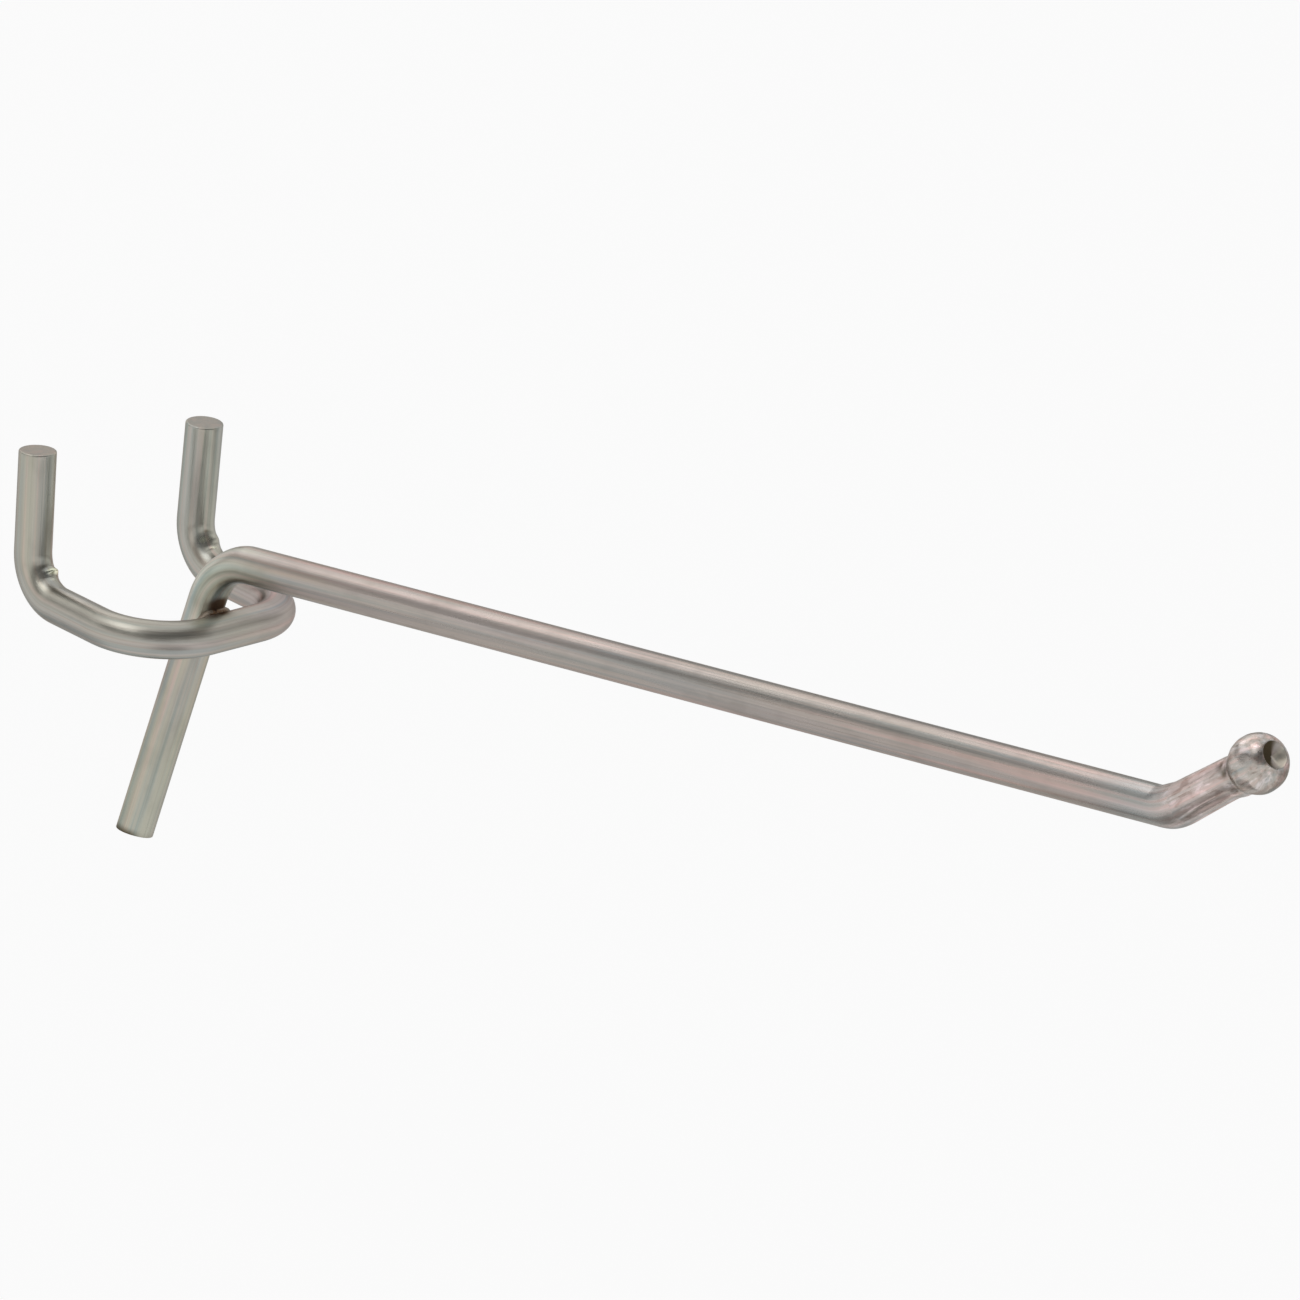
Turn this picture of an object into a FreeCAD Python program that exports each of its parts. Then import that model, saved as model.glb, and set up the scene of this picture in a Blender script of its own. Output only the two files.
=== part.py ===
"""Double-prong pegboard hook, bent and welded from round wire.

The hook hangs as on its board. X runs along the board, +Y points into it and
+Z is up. The origin lies on the board's front face, midway between the two
holes, at the height of the wire that passes through them.
"""
import FreeCAD, Part
import math
import os

import Sketcher
from FreeCAD import Placement, Rotation, Vector

START, END, CENTRE = range(1, 4)
X_AXIS, Y_AXIS = range(-1, -3, -1)
ORIGIN = (X_AXIS, START)
AWAY = Vector(0, 0, 1)
# Two lengths in millimetres closer than this count as the same
NEAR = 0.01

# Driving dimensions in millimetres, and in degrees where the note says so
SIZES = [
    ("wire_dia", 4.76, "round wire of both bent pieces"),
    ("end_chamfer", 0.25, "break at each prong's top"),
    ("hole_pitch", 25.4, "between the two holes of the board"),
    ("board_thickness", 3.175, "board that the prongs reach behind"),
    ("board_clearance", 0.05, "between the board's back and the prongs"),
    ("loop_depth", 22.45, "prong axis to the loop's front, at the middle"),
    ("loop_skew", 5.8, "degrees that the loop's front is out of square"),
    ("left_corner_radius", 9.0, "loop's left front corner"),
    ("right_corner_radius", 7.7, "loop's right front corner"),
    ("prong_bend_radius", 5.75, "bend from the loop up into a prong"),
    ("left_prong_rise", 18.4, "loop's axis to the left prong's top"),
    ("right_prong_rise", 18.45, "loop's axis to the right prong's top"),
    ("left_prong_lean", 2.2, "degrees, top away from the board"),
    ("right_prong_lean", -1.2, "degrees, top away from the board"),
    ("leg_tilt", 17.3, "degrees, leg's foot back towards the board"),
    ("foot_slope", 17.0, "degrees that the foot is cut out of square, near level"),
    ("foot_skew", 14.7, "degrees that the foot's cut rises to the left"),
    ("foot_chamfer", 0.2, "break at the foot's edge"),
    ("weld_setdown", 0.3, "sinking of the two wires into each other"),
    ("knee_rise", 9.1, "loop's axis to the corner of leg and arm"),
    ("knee_radius", 9.9, "bend from the leg into the arm"),
    ("knee_thinning", 0.5, "loss of height of the wire in the knee"),
    ("knee_spread", 0.2, "gain of width of the wire in the knee"),
    ("arm_length", 173.0, "knee corner to tip corner"),
    ("arm_rise", 8.2, "degrees, arm up towards its tip"),
    ("tip_turn", 28.9, "degrees, tip up from the arm"),
    ("tip_length", 16.3, "tip corner to the ball's centre"),
    ("tip_radius", 10.0, "bend from the arm into the tip"),
    ("tip_fill", 0.5, "gain of height of the wire in the tip's bend"),
    ("tip_spread", 0.2, "gain of width of the wire in the tip's bend"),
    ("tip_dia", 5.22, "wire beyond the tip's bend, upset by the heading"),
    ("neck_dia", 4.9, "wire where it meets the ball"),
    ("neck_fillet", 3.0, "inside corner between neck and ball"),
    ("ball_dia", 7.2, "headed end"),
    ("dimple_dia", 3.4, "header's mark in the ball's end"),
    ("dimple_depth", 0.7, "depth of the header's mark"),
    ("weld_reach", 3.0, "weld metal sideways from the crossing"),
    ("weld_height", 2.1, "weld metal up and down from the crossing"),
    ("weld_thickness", 1.1, "weld metal towards either wire from the crossing"),
]

WIRE_RADIUS = "(Sizes.wire_dia / 2)"
HALF_PITCH = "(Sizes.hole_pitch / 2)"
PRONG_Y = f"(Sizes.board_thickness + Sizes.board_clearance + {WIRE_RADIUS})"
FRONT_Y = f"({PRONG_Y} - Sizes.loop_depth)"
SIDE_Y = f"(({PRONG_Y} - Sizes.prong_bend_radius + {FRONT_Y} + Sizes.left_corner_radius) / 2)"
LEG_TILT = "(Sizes.leg_tilt * 1 deg)"
CROSSING_GAP = "(Sizes.wire_dia - Sizes.weld_setdown)"
LEG_Y = f"({FRONT_Y} + {CROSSING_GAP} / cos({LEG_TILT}))"
FOOT_SLOPE = "tan(Sizes.foot_slope * 1 deg)"
FOOT_SKEW = "tan(Sizes.foot_skew * 1 deg)"
HEEL_BACK = f"(cos({LEG_TILT}) + {FOOT_SLOPE} * sin({LEG_TILT}))"
HEEL_SIDE = f"({FOOT_SKEW} * sin({LEG_TILT}))"
HEEL = f"({WIRE_RADIUS} * hypot({HEEL_BACK}; {HEEL_SIDE}))"
FOOT_Y = f"(Sizes.foot_chamfer * sin({LEG_TILT}) - {HEEL})"
FOOT_Z = f"(({LEG_Y} - {FOOT_Y}) / tan({LEG_TILT}))"
BLANK_Y = f"({FOOT_Y} + {WIRE_RADIUS} * sin({LEG_TILT}))"
BLANK_Z = f"({FOOT_Z} - {WIRE_RADIUS} * cos({LEG_TILT}))"
KNEE_Y = f"({LEG_Y} - Sizes.knee_rise * tan({LEG_TILT}))"
NECK_LENGTH = "(Sizes.tip_length - Sizes.tip_radius * tan(Sizes.tip_turn * 0.5 deg))"


def make_sheet(doc):
    """Put the driving dimensions in a sheet, one aliased cell each."""
    sheet = doc.addObject("Spreadsheet::Sheet", "Sizes")
    for row, (alias, value, note) in enumerate(SIZES, start=1):
        sheet.set(f"A{row}", alias)
        sheet.set(f"B{row}", str(value))
        sheet.set(f"C{row}", note)
        sheet.setAlias(f"B{row}", alias)
    doc.recompute()
    return sheet


def recompute():
    """Bring the document up to date."""
    FreeCAD.ActiveDocument.recompute()


def evaluate(expression):
    """Work out one expression in the sheet's values."""
    result = FreeCAD.ActiveDocument.Sizes.evalExpression(expression)
    return getattr(result, "Value", result)


def origin_plane(body, role):
    """Find one of the body's three origin planes."""
    return next(part for part in body.Origin.OriginFeatures if part.Role == role)


def plane_sketch(body, name, role, offset=None):
    """Start a sketch on an origin plane, moved along its normal."""
    sketch = body.newObject("Sketcher::SketchObject", name)
    sketch.AttachmentSupport = [(origin_plane(body, role), "")]
    sketch.MapMode = "FlatFace"
    if offset:
        sketch.setExpression("AttachmentOffset.Base.z", offset)
    return sketch


def section_sketch(body, name, path, edge, where):
    """Start a sketch square to one edge of a path, at a share of its length."""
    sketch = body.newObject("Sketcher::SketchObject", name)
    sketch.AttachmentSupport = [(path, edge)]
    sketch.MapMode = "NormalToEdge"
    sketch.MapPathParameter = where
    return sketch


def constrain(sketch, kind, *where, size=None, name=None):
    """Add a constraint, and bind it to a size where one is given."""
    if size is None:
        sketch.addConstraint(Sketcher.Constraint(kind, *where))
        return
    value = evaluate(size)
    if kind == "Angle":
        value = FreeCAD.Units.Quantity(f"{value} deg")
    index = sketch.addConstraint(Sketcher.Constraint(kind, *where, value))
    sketch.renameConstraint(index, name)
    sketch.setExpression(f"Constraints.{name}", size)


def add_circle(sketch, radius):
    """Draw a round section on the sketch's origin."""
    circle = sketch.addGeometry(Part.Circle(Vector(), AWAY, evaluate(radius)), False)
    constrain(sketch, "Radius", circle, size=radius, name="radius")
    constrain(sketch, "Coincident", circle, CENTRE, *ORIGIN)


def bent_line(sketch, corners, radii):
    """Draw straight runs between corners, with a tangent arc at each inner one.

    Returns the lines. The corners only place the first drawing: the caller's
    constraints hold it.
    """
    starts, ends, middles = list(corners[:-1]), list(corners[1:]), []
    for index, radius in enumerate(radii, start=1):
        corner = corners[index]
        arriving = (corner - corners[index - 1]).normalize()
        leaving = (corners[index + 1] - corner).normalize()
        half_turn = arriving.getAngle(leaving) / 2
        setback = evaluate(radius) * math.tan(half_turn)
        ends[index - 1] = corner - arriving * setback
        starts[index] = corner + leaving * setback
        inwards = (leaving - arriving).normalize()
        middles.append(corner + inwards * evaluate(radius) * (1 / math.cos(half_turn) - 1))
    lines = [sketch.addGeometry(Part.LineSegment(starts[0], ends[0]), False)]
    for index, middle in enumerate(middles, start=1):
        arc = sketch.addGeometry(Part.Arc(ends[index - 1], middle, starts[index]), False)
        line = sketch.addGeometry(Part.LineSegment(starts[index], ends[index]), False)
        turn = (middle - ends[index - 1]).cross(starts[index] - middle).z
        entry, leave = (START, END) if turn > 0 else (END, START)
        constrain(sketch, "Tangent", lines[-1], END, arc, entry)
        constrain(sketch, "Tangent", arc, leave, line, START)
        constrain(sketch, "Radius", arc, size=radii[index - 1], name=f"radius_{index}")
        lines.append(line)
    return lines


def mark_corner(sketch, place, *lines):
    """Add a construction point where lines or axes meet, and return it."""
    point = sketch.addGeometry(Part.Point(place), True)
    for line in lines:
        constrain(sketch, "PointOnObject", point, START, line)
    return point


def plane_point(across, along):
    """A point in a sketch's plane, from two expressions."""
    return Vector(evaluate(across), evaluate(along), 0)


def loop_path(body):
    """Draw the loop's centre line: two side wires, two corners and the front."""
    sketch = plane_sketch(body, "loop_path", "XY_Plane")
    half, side, front = evaluate(HALF_PITCH), evaluate(SIDE_Y), evaluate(FRONT_Y)
    corners = [Vector(-half, side), Vector(-half, front), Vector(half, front), Vector(half, side)]
    radii = ["Sizes.left_corner_radius", "Sizes.right_corner_radius"]
    left, span, right = bent_line(sketch, corners, radii)
    middle = mark_corner(sketch, Vector(0, front), Y_AXIS, span)
    constrain(sketch, "Vertical", left)
    constrain(sketch, "Vertical", right)
    constrain(sketch, "DistanceY", *ORIGIN, middle, START, size=FRONT_Y, name="front_y")
    constrain(sketch, "Angle", span, size="Sizes.loop_skew * 1 deg", name="skew")
    constrain(sketch, "DistanceX", *ORIGIN, left, START, size=f"-{HALF_PITCH}", name="left_x")
    constrain(sketch, "DistanceX", *ORIGIN, right, END, size=HALF_PITCH, name="right_x")
    constrain(sketch, "DistanceY", *ORIGIN, left, START, size=SIDE_Y, name="left_y")
    constrain(sketch, "DistanceY", *ORIGIN, right, END, size=SIDE_Y, name="right_y")
    return sketch


def prong_path(body, side, x):
    """Draw one prong's centre line: the side wire, its bend and the prong."""
    sketch = plane_sketch(body, f"{side}_prong_path", "YZ_Plane", x)
    rise = f"Sizes.{side}_prong_rise"
    corners = [plane_point(SIDE_Y, "0"), plane_point(PRONG_Y, "0"), plane_point(PRONG_Y, rise)]
    wire, stem = bent_line(sketch, corners, ["Sizes.prong_bend_radius"])
    corner = mark_corner(sketch, corners[1], X_AXIS, stem)
    constrain(sketch, "PointOnObject", wire, START, X_AXIS)
    constrain(sketch, "Horizontal", wire)
    constrain(sketch, "DistanceX", *ORIGIN, wire, START, size=SIDE_Y, name="start_y")
    constrain(sketch, "DistanceX", *ORIGIN, corner, START, size=PRONG_Y, name="prong_y")
    constrain(sketch, "Angle", stem, size=f"(90 - Sizes.{side}_prong_lean) * 1 deg", name="lean")
    constrain(sketch, "DistanceY", *ORIGIN, stem, END, size=rise, name="rise")
    return sketch


def arm_path(body):
    """Draw the centre line of leg, knee, arm and tip, up to the ball's centre.

    It starts one wire radius beyond the foot, where the wire isn't yet cut.
    """
    sketch = plane_sketch(body, "arm_path", "YZ_Plane")
    rise = math.radians(evaluate("Sizes.arm_rise"))
    turned = rise + math.radians(evaluate("Sizes.tip_turn"))
    blank = plane_point(BLANK_Y, BLANK_Z)
    knee = plane_point(KNEE_Y, "Sizes.knee_rise")
    bend = knee + Vector(-math.cos(rise), math.sin(rise)) * evaluate("Sizes.arm_length")
    ball = bend + Vector(-math.cos(turned), math.sin(turned)) * evaluate("Sizes.tip_length")
    radii = ["Sizes.knee_radius", "Sizes.tip_radius"]
    leg, arm, tip = bent_line(sketch, [blank, knee, bend, ball], radii)
    knee_corner = mark_corner(sketch, knee, leg, arm)
    tip_corner = mark_corner(sketch, bend, arm, tip)
    constrain(sketch, "DistanceX", *ORIGIN, leg, START, size=BLANK_Y, name="blank_y")
    constrain(sketch, "DistanceX", *ORIGIN, knee_corner, START, size=KNEE_Y, name="knee_y")
    constrain(sketch, "DistanceY", *ORIGIN, knee_corner, START, size="Sizes.knee_rise", name="knee_z")
    constrain(sketch, "Angle", leg, size="(90 + Sizes.leg_tilt) * 1 deg", name="leg_tilt")
    constrain(sketch, "Angle", arm, size="(180 - Sizes.arm_rise) * 1 deg", name="arm_rise")
    reach = (knee_corner, START, tip_corner, START)
    constrain(sketch, "Distance", *reach, size="Sizes.arm_length", name="reach")
    turn = "(180 - Sizes.arm_rise - Sizes.tip_turn) * 1 deg"
    constrain(sketch, "Angle", tip, size=turn, name="tip_turn")
    reach = (tip_corner, START, tip, END)
    constrain(sketch, "Distance", *reach, size="Sizes.tip_length", name="tip_length")
    return sketch


def add_pipe(body, name, path, edges):
    """Sweep the round wire along some edges of a path."""
    section = section_sketch(body, f"{name}_section", path, edges[0], 0.0)
    add_circle(section, WIRE_RADIUS)
    pipe = body.newObject("PartDesign::AdditivePipe", name)
    pipe.Profile = section
    pipe.Spine = (path, edges)
    recompute()
    return pipe


def add_oval(sketch, width, height):
    """Draw an oval on the sketch's origin, its width along the sketch's X."""
    side = Vector(evaluate(width) / 2, 0)
    top = Vector(0, evaluate(height) / 2)
    wide = side.Length > top.Length
    long_end, short_end = (side, top) if wide else (top, side)
    oval = sketch.addGeometry(Part.Ellipse(long_end, short_end, Vector()), False)
    sketch.exposeInternalGeometry(oval)
    across, along = (oval + 1, oval + 2) if wide else (oval + 2, oval + 1)
    constrain(sketch, "Coincident", oval, CENTRE, *ORIGIN)
    constrain(sketch, "Horizontal", across)
    constrain(sketch, "Distance", across, size=width, name="width")
    constrain(sketch, "Distance", along, size=height, name="height")


def add_bend(body, name, path, edge, width, height, end_radius):
    """Bend the wire along one arc, through an oval section halfway round."""
    first = section_sketch(body, f"{name}_start", path, edge, 0.0)
    add_circle(first, WIRE_RADIUS)
    middle = section_sketch(body, f"{name}_middle", path, edge, 0.5)
    add_oval(middle, width, height)
    last = section_sketch(body, f"{name}_end", path, edge, 1.0)
    add_circle(last, end_radius)
    bend = body.newObject("PartDesign::AdditivePipe", name)
    bend.Profile = first
    bend.Spine = (path, [edge])
    bend.Transformation = "Multisection"
    bend.Sections = [(middle, [""]), (last, [""])]
    recompute()
    return bend


def rim(feature, centre, radius):
    """Name the circle or ellipse that has this centre and small radius."""
    for number, edge in enumerate(feature.Shape.Edges, start=1):
        curve = None if edge.Degenerated else edge.Curve
        if not isinstance(curve, (Part.Circle, Part.Ellipse)):
            continue
        size = curve.Radius if isinstance(curve, Part.Circle) else curve.MinorRadius
        if abs(size - radius) < NEAR and curve.Center.distanceToPoint(centre) < NEAR:
            return f"Edge{number}"
    raise ValueError(f"{feature.Name} has no rim of {radius} at {centre}")


def break_end(body, name, point, size):
    """Chamfer the cut end of the wire that has its centre at a point."""
    base = body.Tip
    chamfer = body.newObject("PartDesign::Chamfer", name)
    chamfer.Base = (base, [rim(base, point, evaluate(WIRE_RADIUS))])
    chamfer.setExpression("Size", size)
    recompute()
    return chamfer


def cut_foot(body):
    """Cut the leg off at the foot, out of square both ways as a shear leaves it."""
    tilt = math.radians(evaluate("Sizes.leg_tilt"))
    along = Vector(math.sin(tilt), -math.cos(tilt), 0)
    across = Vector(math.cos(tilt), math.sin(tilt), 0)
    facing = along - across * evaluate(FOOT_SLOPE) - AWAY * evaluate(FOOT_SKEW)
    waste = body.newObject("PartDesign::SubtractiveCylinder", "foot_cut")
    waste.AttachmentSupport = [(origin_plane(body, "YZ_Plane"), "")]
    waste.MapMode = "FlatFace"
    waste.AttachmentOffset = Placement(Vector(), Rotation(AWAY, facing))
    waste.setExpression("AttachmentOffset.Base.x", FOOT_Y)
    waste.setExpression("AttachmentOffset.Base.y", FOOT_Z)
    waste.setExpression("Radius", "Sizes.wire_dia")
    waste.setExpression("Height", "Sizes.wire_dia")
    recompute()
    return waste


def last_point(path):
    """The far end of a path's last edge."""
    edge = path.Shape.Edges[-1]
    return edge.valueAt(edge.LastParameter)


def make_back_wire(doc):
    """Build the wire that makes the loop and both upturned prongs."""
    body = doc.addObject("PartDesign::Body", "back_wire")
    loop = loop_path(body)
    recompute()
    add_pipe(body, "loop", loop, [f"Edge{number}" for number in range(1, 6)])
    for side, x in (("left", f"-{HALF_PITCH}"), ("right", HALF_PITCH)):
        path = prong_path(body, side, x)
        recompute()
        add_pipe(body, f"{side}_prong", path, ["Edge1", "Edge2", "Edge3"])
        break_end(body, f"{side}_end", last_point(path), "Sizes.end_chamfer")
    return body


def ball_profile(body, path, edge):
    """Draw half the tip's section: tapering neck, ball and header's mark."""
    sketch = section_sketch(body, "ball_profile", path, edge, 0.0)
    sketch.AttachmentOffset = Placement(Vector(), Rotation(Vector(1, 0, 0), -90))
    sizes = ("tip", "neck", "ball", "dimple")
    stem, neck, ball, mark = (evaluate(f"Sizes.{name}_dia / 2") for name in sizes)
    middle = evaluate(NECK_LENGTH)
    throat_angle = -math.acos(neck / ball)
    mark_angle = math.acos(mark / ball)
    throat = Vector(neck, middle + ball * math.sin(throat_angle))
    lip = Vector(mark, middle + ball * math.sin(mark_angle))
    depth = evaluate("Sizes.dimple_depth")
    pit = lip - Vector(mark, depth)
    bow = (depth**2 + mark**2) / (2 * depth)
    bow_end = -math.acos(mark / bow)
    sphere = Part.Circle(Vector(0, middle), AWAY, ball)
    dish = Part.Circle(pit + Vector(0, bow), AWAY, bow)
    floor = sketch.addGeometry(Part.LineSegment(Vector(), Vector(stem, 0)), False)
    taper = sketch.addGeometry(Part.LineSegment(Vector(stem, 0), throat), False)
    head = sketch.addGeometry(Part.ArcOfCircle(sphere, throat_angle, mark_angle), False)
    dimple = sketch.addGeometry(Part.ArcOfCircle(dish, -math.pi / 2, bow_end), False)
    axis = sketch.addGeometry(Part.LineSegment(pit, Vector()), False)
    constrain(sketch, "Coincident", floor, START, *ORIGIN)
    constrain(sketch, "PointOnObject", floor, END, X_AXIS)
    constrain(sketch, "DistanceX", *ORIGIN, floor, END, size="Sizes.tip_dia / 2", name="tip_radius")
    constrain(sketch, "Coincident", floor, END, taper, START)
    constrain(sketch, "Coincident", taper, END, head, START)
    constrain(sketch, "DistanceX", *ORIGIN, head, START, size="Sizes.neck_dia / 2", name="neck_radius")
    constrain(sketch, "PointOnObject", head, CENTRE, Y_AXIS)
    constrain(sketch, "DistanceY", *ORIGIN, head, CENTRE, size=NECK_LENGTH, name="neck_length")
    constrain(sketch, "Radius", head, size="Sizes.ball_dia / 2", name="ball_radius")
    constrain(sketch, "DistanceX", *ORIGIN, head, END, size="Sizes.dimple_dia / 2", name="dimple_radius")
    constrain(sketch, "Coincident", head, END, dimple, END)
    constrain(sketch, "PointOnObject", dimple, START, Y_AXIS)
    constrain(sketch, "PointOnObject", dimple, CENTRE, Y_AXIS)
    drop = (dimple, START, dimple, END)
    constrain(sketch, "DistanceY", *drop, size="Sizes.dimple_depth", name="dimple_depth")
    constrain(sketch, "Coincident", dimple, START, axis, START)
    constrain(sketch, "Coincident", axis, END, *ORIGIN)
    recompute()
    return sketch, throat.y


def add_ball(body, path, edge):
    """Head the tip with its ball, and round the corner between neck and ball."""
    sketch, throat_height = ball_profile(body, path, edge)
    head = body.newObject("PartDesign::Revolution", "ball")
    head.Profile = sketch
    head.ReferenceAxis = (sketch, ["V_Axis"])
    head.Angle = 360.0
    recompute()
    throat = body.newObject("PartDesign::Fillet", "throat")
    centre = sketch.Placement.multVec(Vector(0, throat_height))
    throat.Base = (head, [rim(head, centre, evaluate("Sizes.neck_dia / 2"))])
    throat.setExpression("Radius", "Sizes.neck_fillet")
    recompute()
    return throat


def make_arm_wire(doc):
    """Build the wire that makes the leg, knee, arm, tip and ball."""
    body = doc.addObject("PartDesign::Body", "arm_body")
    path = arm_path(body)
    recompute()
    add_pipe(body, "leg", path, ["Edge1"])
    knee_width = "Sizes.wire_dia + Sizes.knee_spread"
    knee_height = "Sizes.wire_dia - Sizes.knee_thinning"
    add_bend(body, "knee", path, "Edge2", knee_width, knee_height, WIRE_RADIUS)
    add_pipe(body, "arm", path, ["Edge3"])
    tip_width = "Sizes.wire_dia + Sizes.tip_spread"
    tip_height = "Sizes.wire_dia + Sizes.tip_fill"
    add_bend(body, "tip_bend", path, "Edge4", tip_width, tip_height, "Sizes.tip_dia / 2")
    add_ball(body, path, "Edge5")
    cut_foot(body)
    foot = Vector(0, evaluate(FOOT_Y), evaluate(FOOT_Z))
    break_end(body, "foot_end", foot, "Sizes.foot_chamfer")
    return body


def seat_arm(doc, arm, back):
    """Sink the arm's leg into the loop by the depth that the weld sets down."""
    seated = doc.addObject("Part::Cut", "arm_wire")
    seated.Base = arm
    seated.Tool = back
    recompute()
    return seated


def make_weld(doc, arm, back):
    """Fill round the crossing of the two wires with weld metal."""
    lump = doc.addObject("Part::Ellipsoid", "weld_lump")
    lump.setExpression("Radius1", "Sizes.weld_height")
    lump.setExpression("Radius2", "Sizes.weld_reach")
    lump.setExpression("Radius3", "Sizes.weld_thickness")
    lump.Placement = Placement(Vector(), Rotation(Vector(1, 0, 0), evaluate("Sizes.leg_tilt")))
    middle = f"{CROSSING_GAP} / 2"
    lump.setExpression("Placement.Rotation.Angle", LEG_TILT)
    lump.setExpression("Placement.Base.y", f"{FRONT_Y} + {middle} * cos({LEG_TILT})")
    lump.setExpression("Placement.Base.z", f"{middle} * sin({LEG_TILT})")
    wires = doc.addObject("Part::MultiFuse", "both_wires")
    wires.Shapes = [arm, back]
    weld = doc.addObject("Part::Cut", "weld_bead")
    weld.Base = lump
    weld.Tool = wires
    recompute()
    return weld


def check(doc, pieces):
    """Stop if any object failed or any piece has no sound shape."""
    for item in doc.Objects:
        if {"Invalid", "Error"} & set(item.State):
            raise RuntimeError(f"{item.Name} failed: {item.State}")
    for piece in pieces:
        shape = piece.Shape
        if shape.isNull() or not shape.isValid() or shape.Volume <= 0:
            raise RuntimeError(f"{piece.Name} has no sound shape")


def main():
    """Build the hook and write one file for each piece."""
    doc = FreeCAD.newDocument("pegboard_hook")
    make_sheet(doc)
    back = make_back_wire(doc)
    arm = seat_arm(doc, make_arm_wire(doc), back)
    weld = make_weld(doc, arm, back)
    pieces = [arm, back, weld]
    check(doc, pieces)
    os.makedirs("parts", exist_ok=True)
    for piece in pieces:
        piece.Label = piece.Name
        piece.Shape.exportStep(f"parts/{piece.Label}.step")
        solids = len(piece.Shape.Solids)
        print(f"{piece.Label}: {solids} solid, {piece.Shape.Volume:.1f} cubic mm")


main()
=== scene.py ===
"""Looks of a pegboard hook bent and welded from bright zinc-plated wire.

Each wire is one skin laid round its own middle line, so its drawing lines, its
plating tints and its tool marks follow it round every bend. Lengths in the
classes are millimetres; meshes are written in metres.
"""

import logging
import math
from collections.abc import Sequence
from dataclasses import dataclass
from enum import Enum
from typing import Any

import bpy
import numpy as np
from mathutils import Matrix, Vector

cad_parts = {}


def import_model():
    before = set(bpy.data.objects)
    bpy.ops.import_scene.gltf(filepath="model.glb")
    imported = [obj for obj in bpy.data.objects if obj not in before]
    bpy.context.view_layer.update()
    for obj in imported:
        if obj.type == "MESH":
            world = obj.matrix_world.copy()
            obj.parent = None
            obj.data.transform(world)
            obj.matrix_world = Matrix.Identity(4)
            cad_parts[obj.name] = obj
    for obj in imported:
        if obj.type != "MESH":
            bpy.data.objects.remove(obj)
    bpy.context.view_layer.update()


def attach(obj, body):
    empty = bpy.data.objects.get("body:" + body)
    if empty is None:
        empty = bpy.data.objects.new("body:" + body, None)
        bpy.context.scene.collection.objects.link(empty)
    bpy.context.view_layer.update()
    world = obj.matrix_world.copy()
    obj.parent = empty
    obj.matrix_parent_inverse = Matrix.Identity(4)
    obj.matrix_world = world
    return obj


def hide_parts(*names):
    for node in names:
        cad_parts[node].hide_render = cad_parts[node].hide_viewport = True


LOG = logging.getLogger("pegboard_hook")
MM = 0.001  # metres
WIRE_RADIUS = 2.38  # at which a mark's width across the wire is measured
END_GAP = 0.05  # between an end's last ring and the first plain one

Colour = tuple[float, float, float]
Point = tuple[float, float, float]


class Step(Enum):
    """Steps of arithmetic between two varying numbers."""

    ADD = "ADD"
    SUBTRACT = "SUBTRACT"
    MULTIPLY = "MULTIPLY"
    LARGER = "MAXIMUM"


class Side(Enum):
    """The hook's two sides, as signs along the board."""

    LEFT = -1.0
    RIGHT = 1.0


class Layer(Enum):
    """Values that a wire's skin carries for its finish."""

    STRAIGHT = "straight"
    CUT = "cut"
    SCORCH = "scorch"
    WORKED = "worked"
    RECESS = "recess"
    NEAR_WELD = "near_weld"
    TINT = "tint"


@dataclass(frozen=True)
class Signal:
    """A number that varies over a surface, with the usual arithmetic.

    Attributes:
        tree: The finish that the number belongs to.
        socket: The node output that gives it.
    """

    tree: "FinishTree"
    socket: bpy.types.NodeSocket

    def __add__(self, other: "Signal | float") -> "Signal":
        """Add another value."""
        return self.tree.math(Step.ADD, self, other)

    __radd__ = __add__

    def __sub__(self, other: "Signal | float") -> "Signal":
        """Take another value away."""
        return self.tree.math(Step.SUBTRACT, self, other)

    def __rsub__(self, other: float) -> "Signal":
        """Take this from another value."""
        return self.tree.math(Step.SUBTRACT, other, self)

    def __mul__(self, other: "Signal | float") -> "Signal":
        """Multiply by another value."""
        return self.tree.math(Step.MULTIPLY, self, other)

    __rmul__ = __mul__

    def __or__(self, other: "Signal | float") -> "Signal":
        """Take the larger of the two."""
        return self.tree.math(Step.LARGER, self, other)

    def eased(self, low: float, high: float) -> "Signal":
        """Ease from 0 at low to 1 at high.

        Args:
            low: The value that gives 0.
            high: The value that gives 1.

        Returns:
            The eased number, which stays within 0 and 1.
        """
        inputs = {"Value": self, "From Min": low, "From Max": high}
        node = self.tree.make("ShaderNodeMapRange", {"interpolation_type": "SMOOTHSTEP"}, inputs)
        return Signal(self.tree, node.outputs["Result"])


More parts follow.
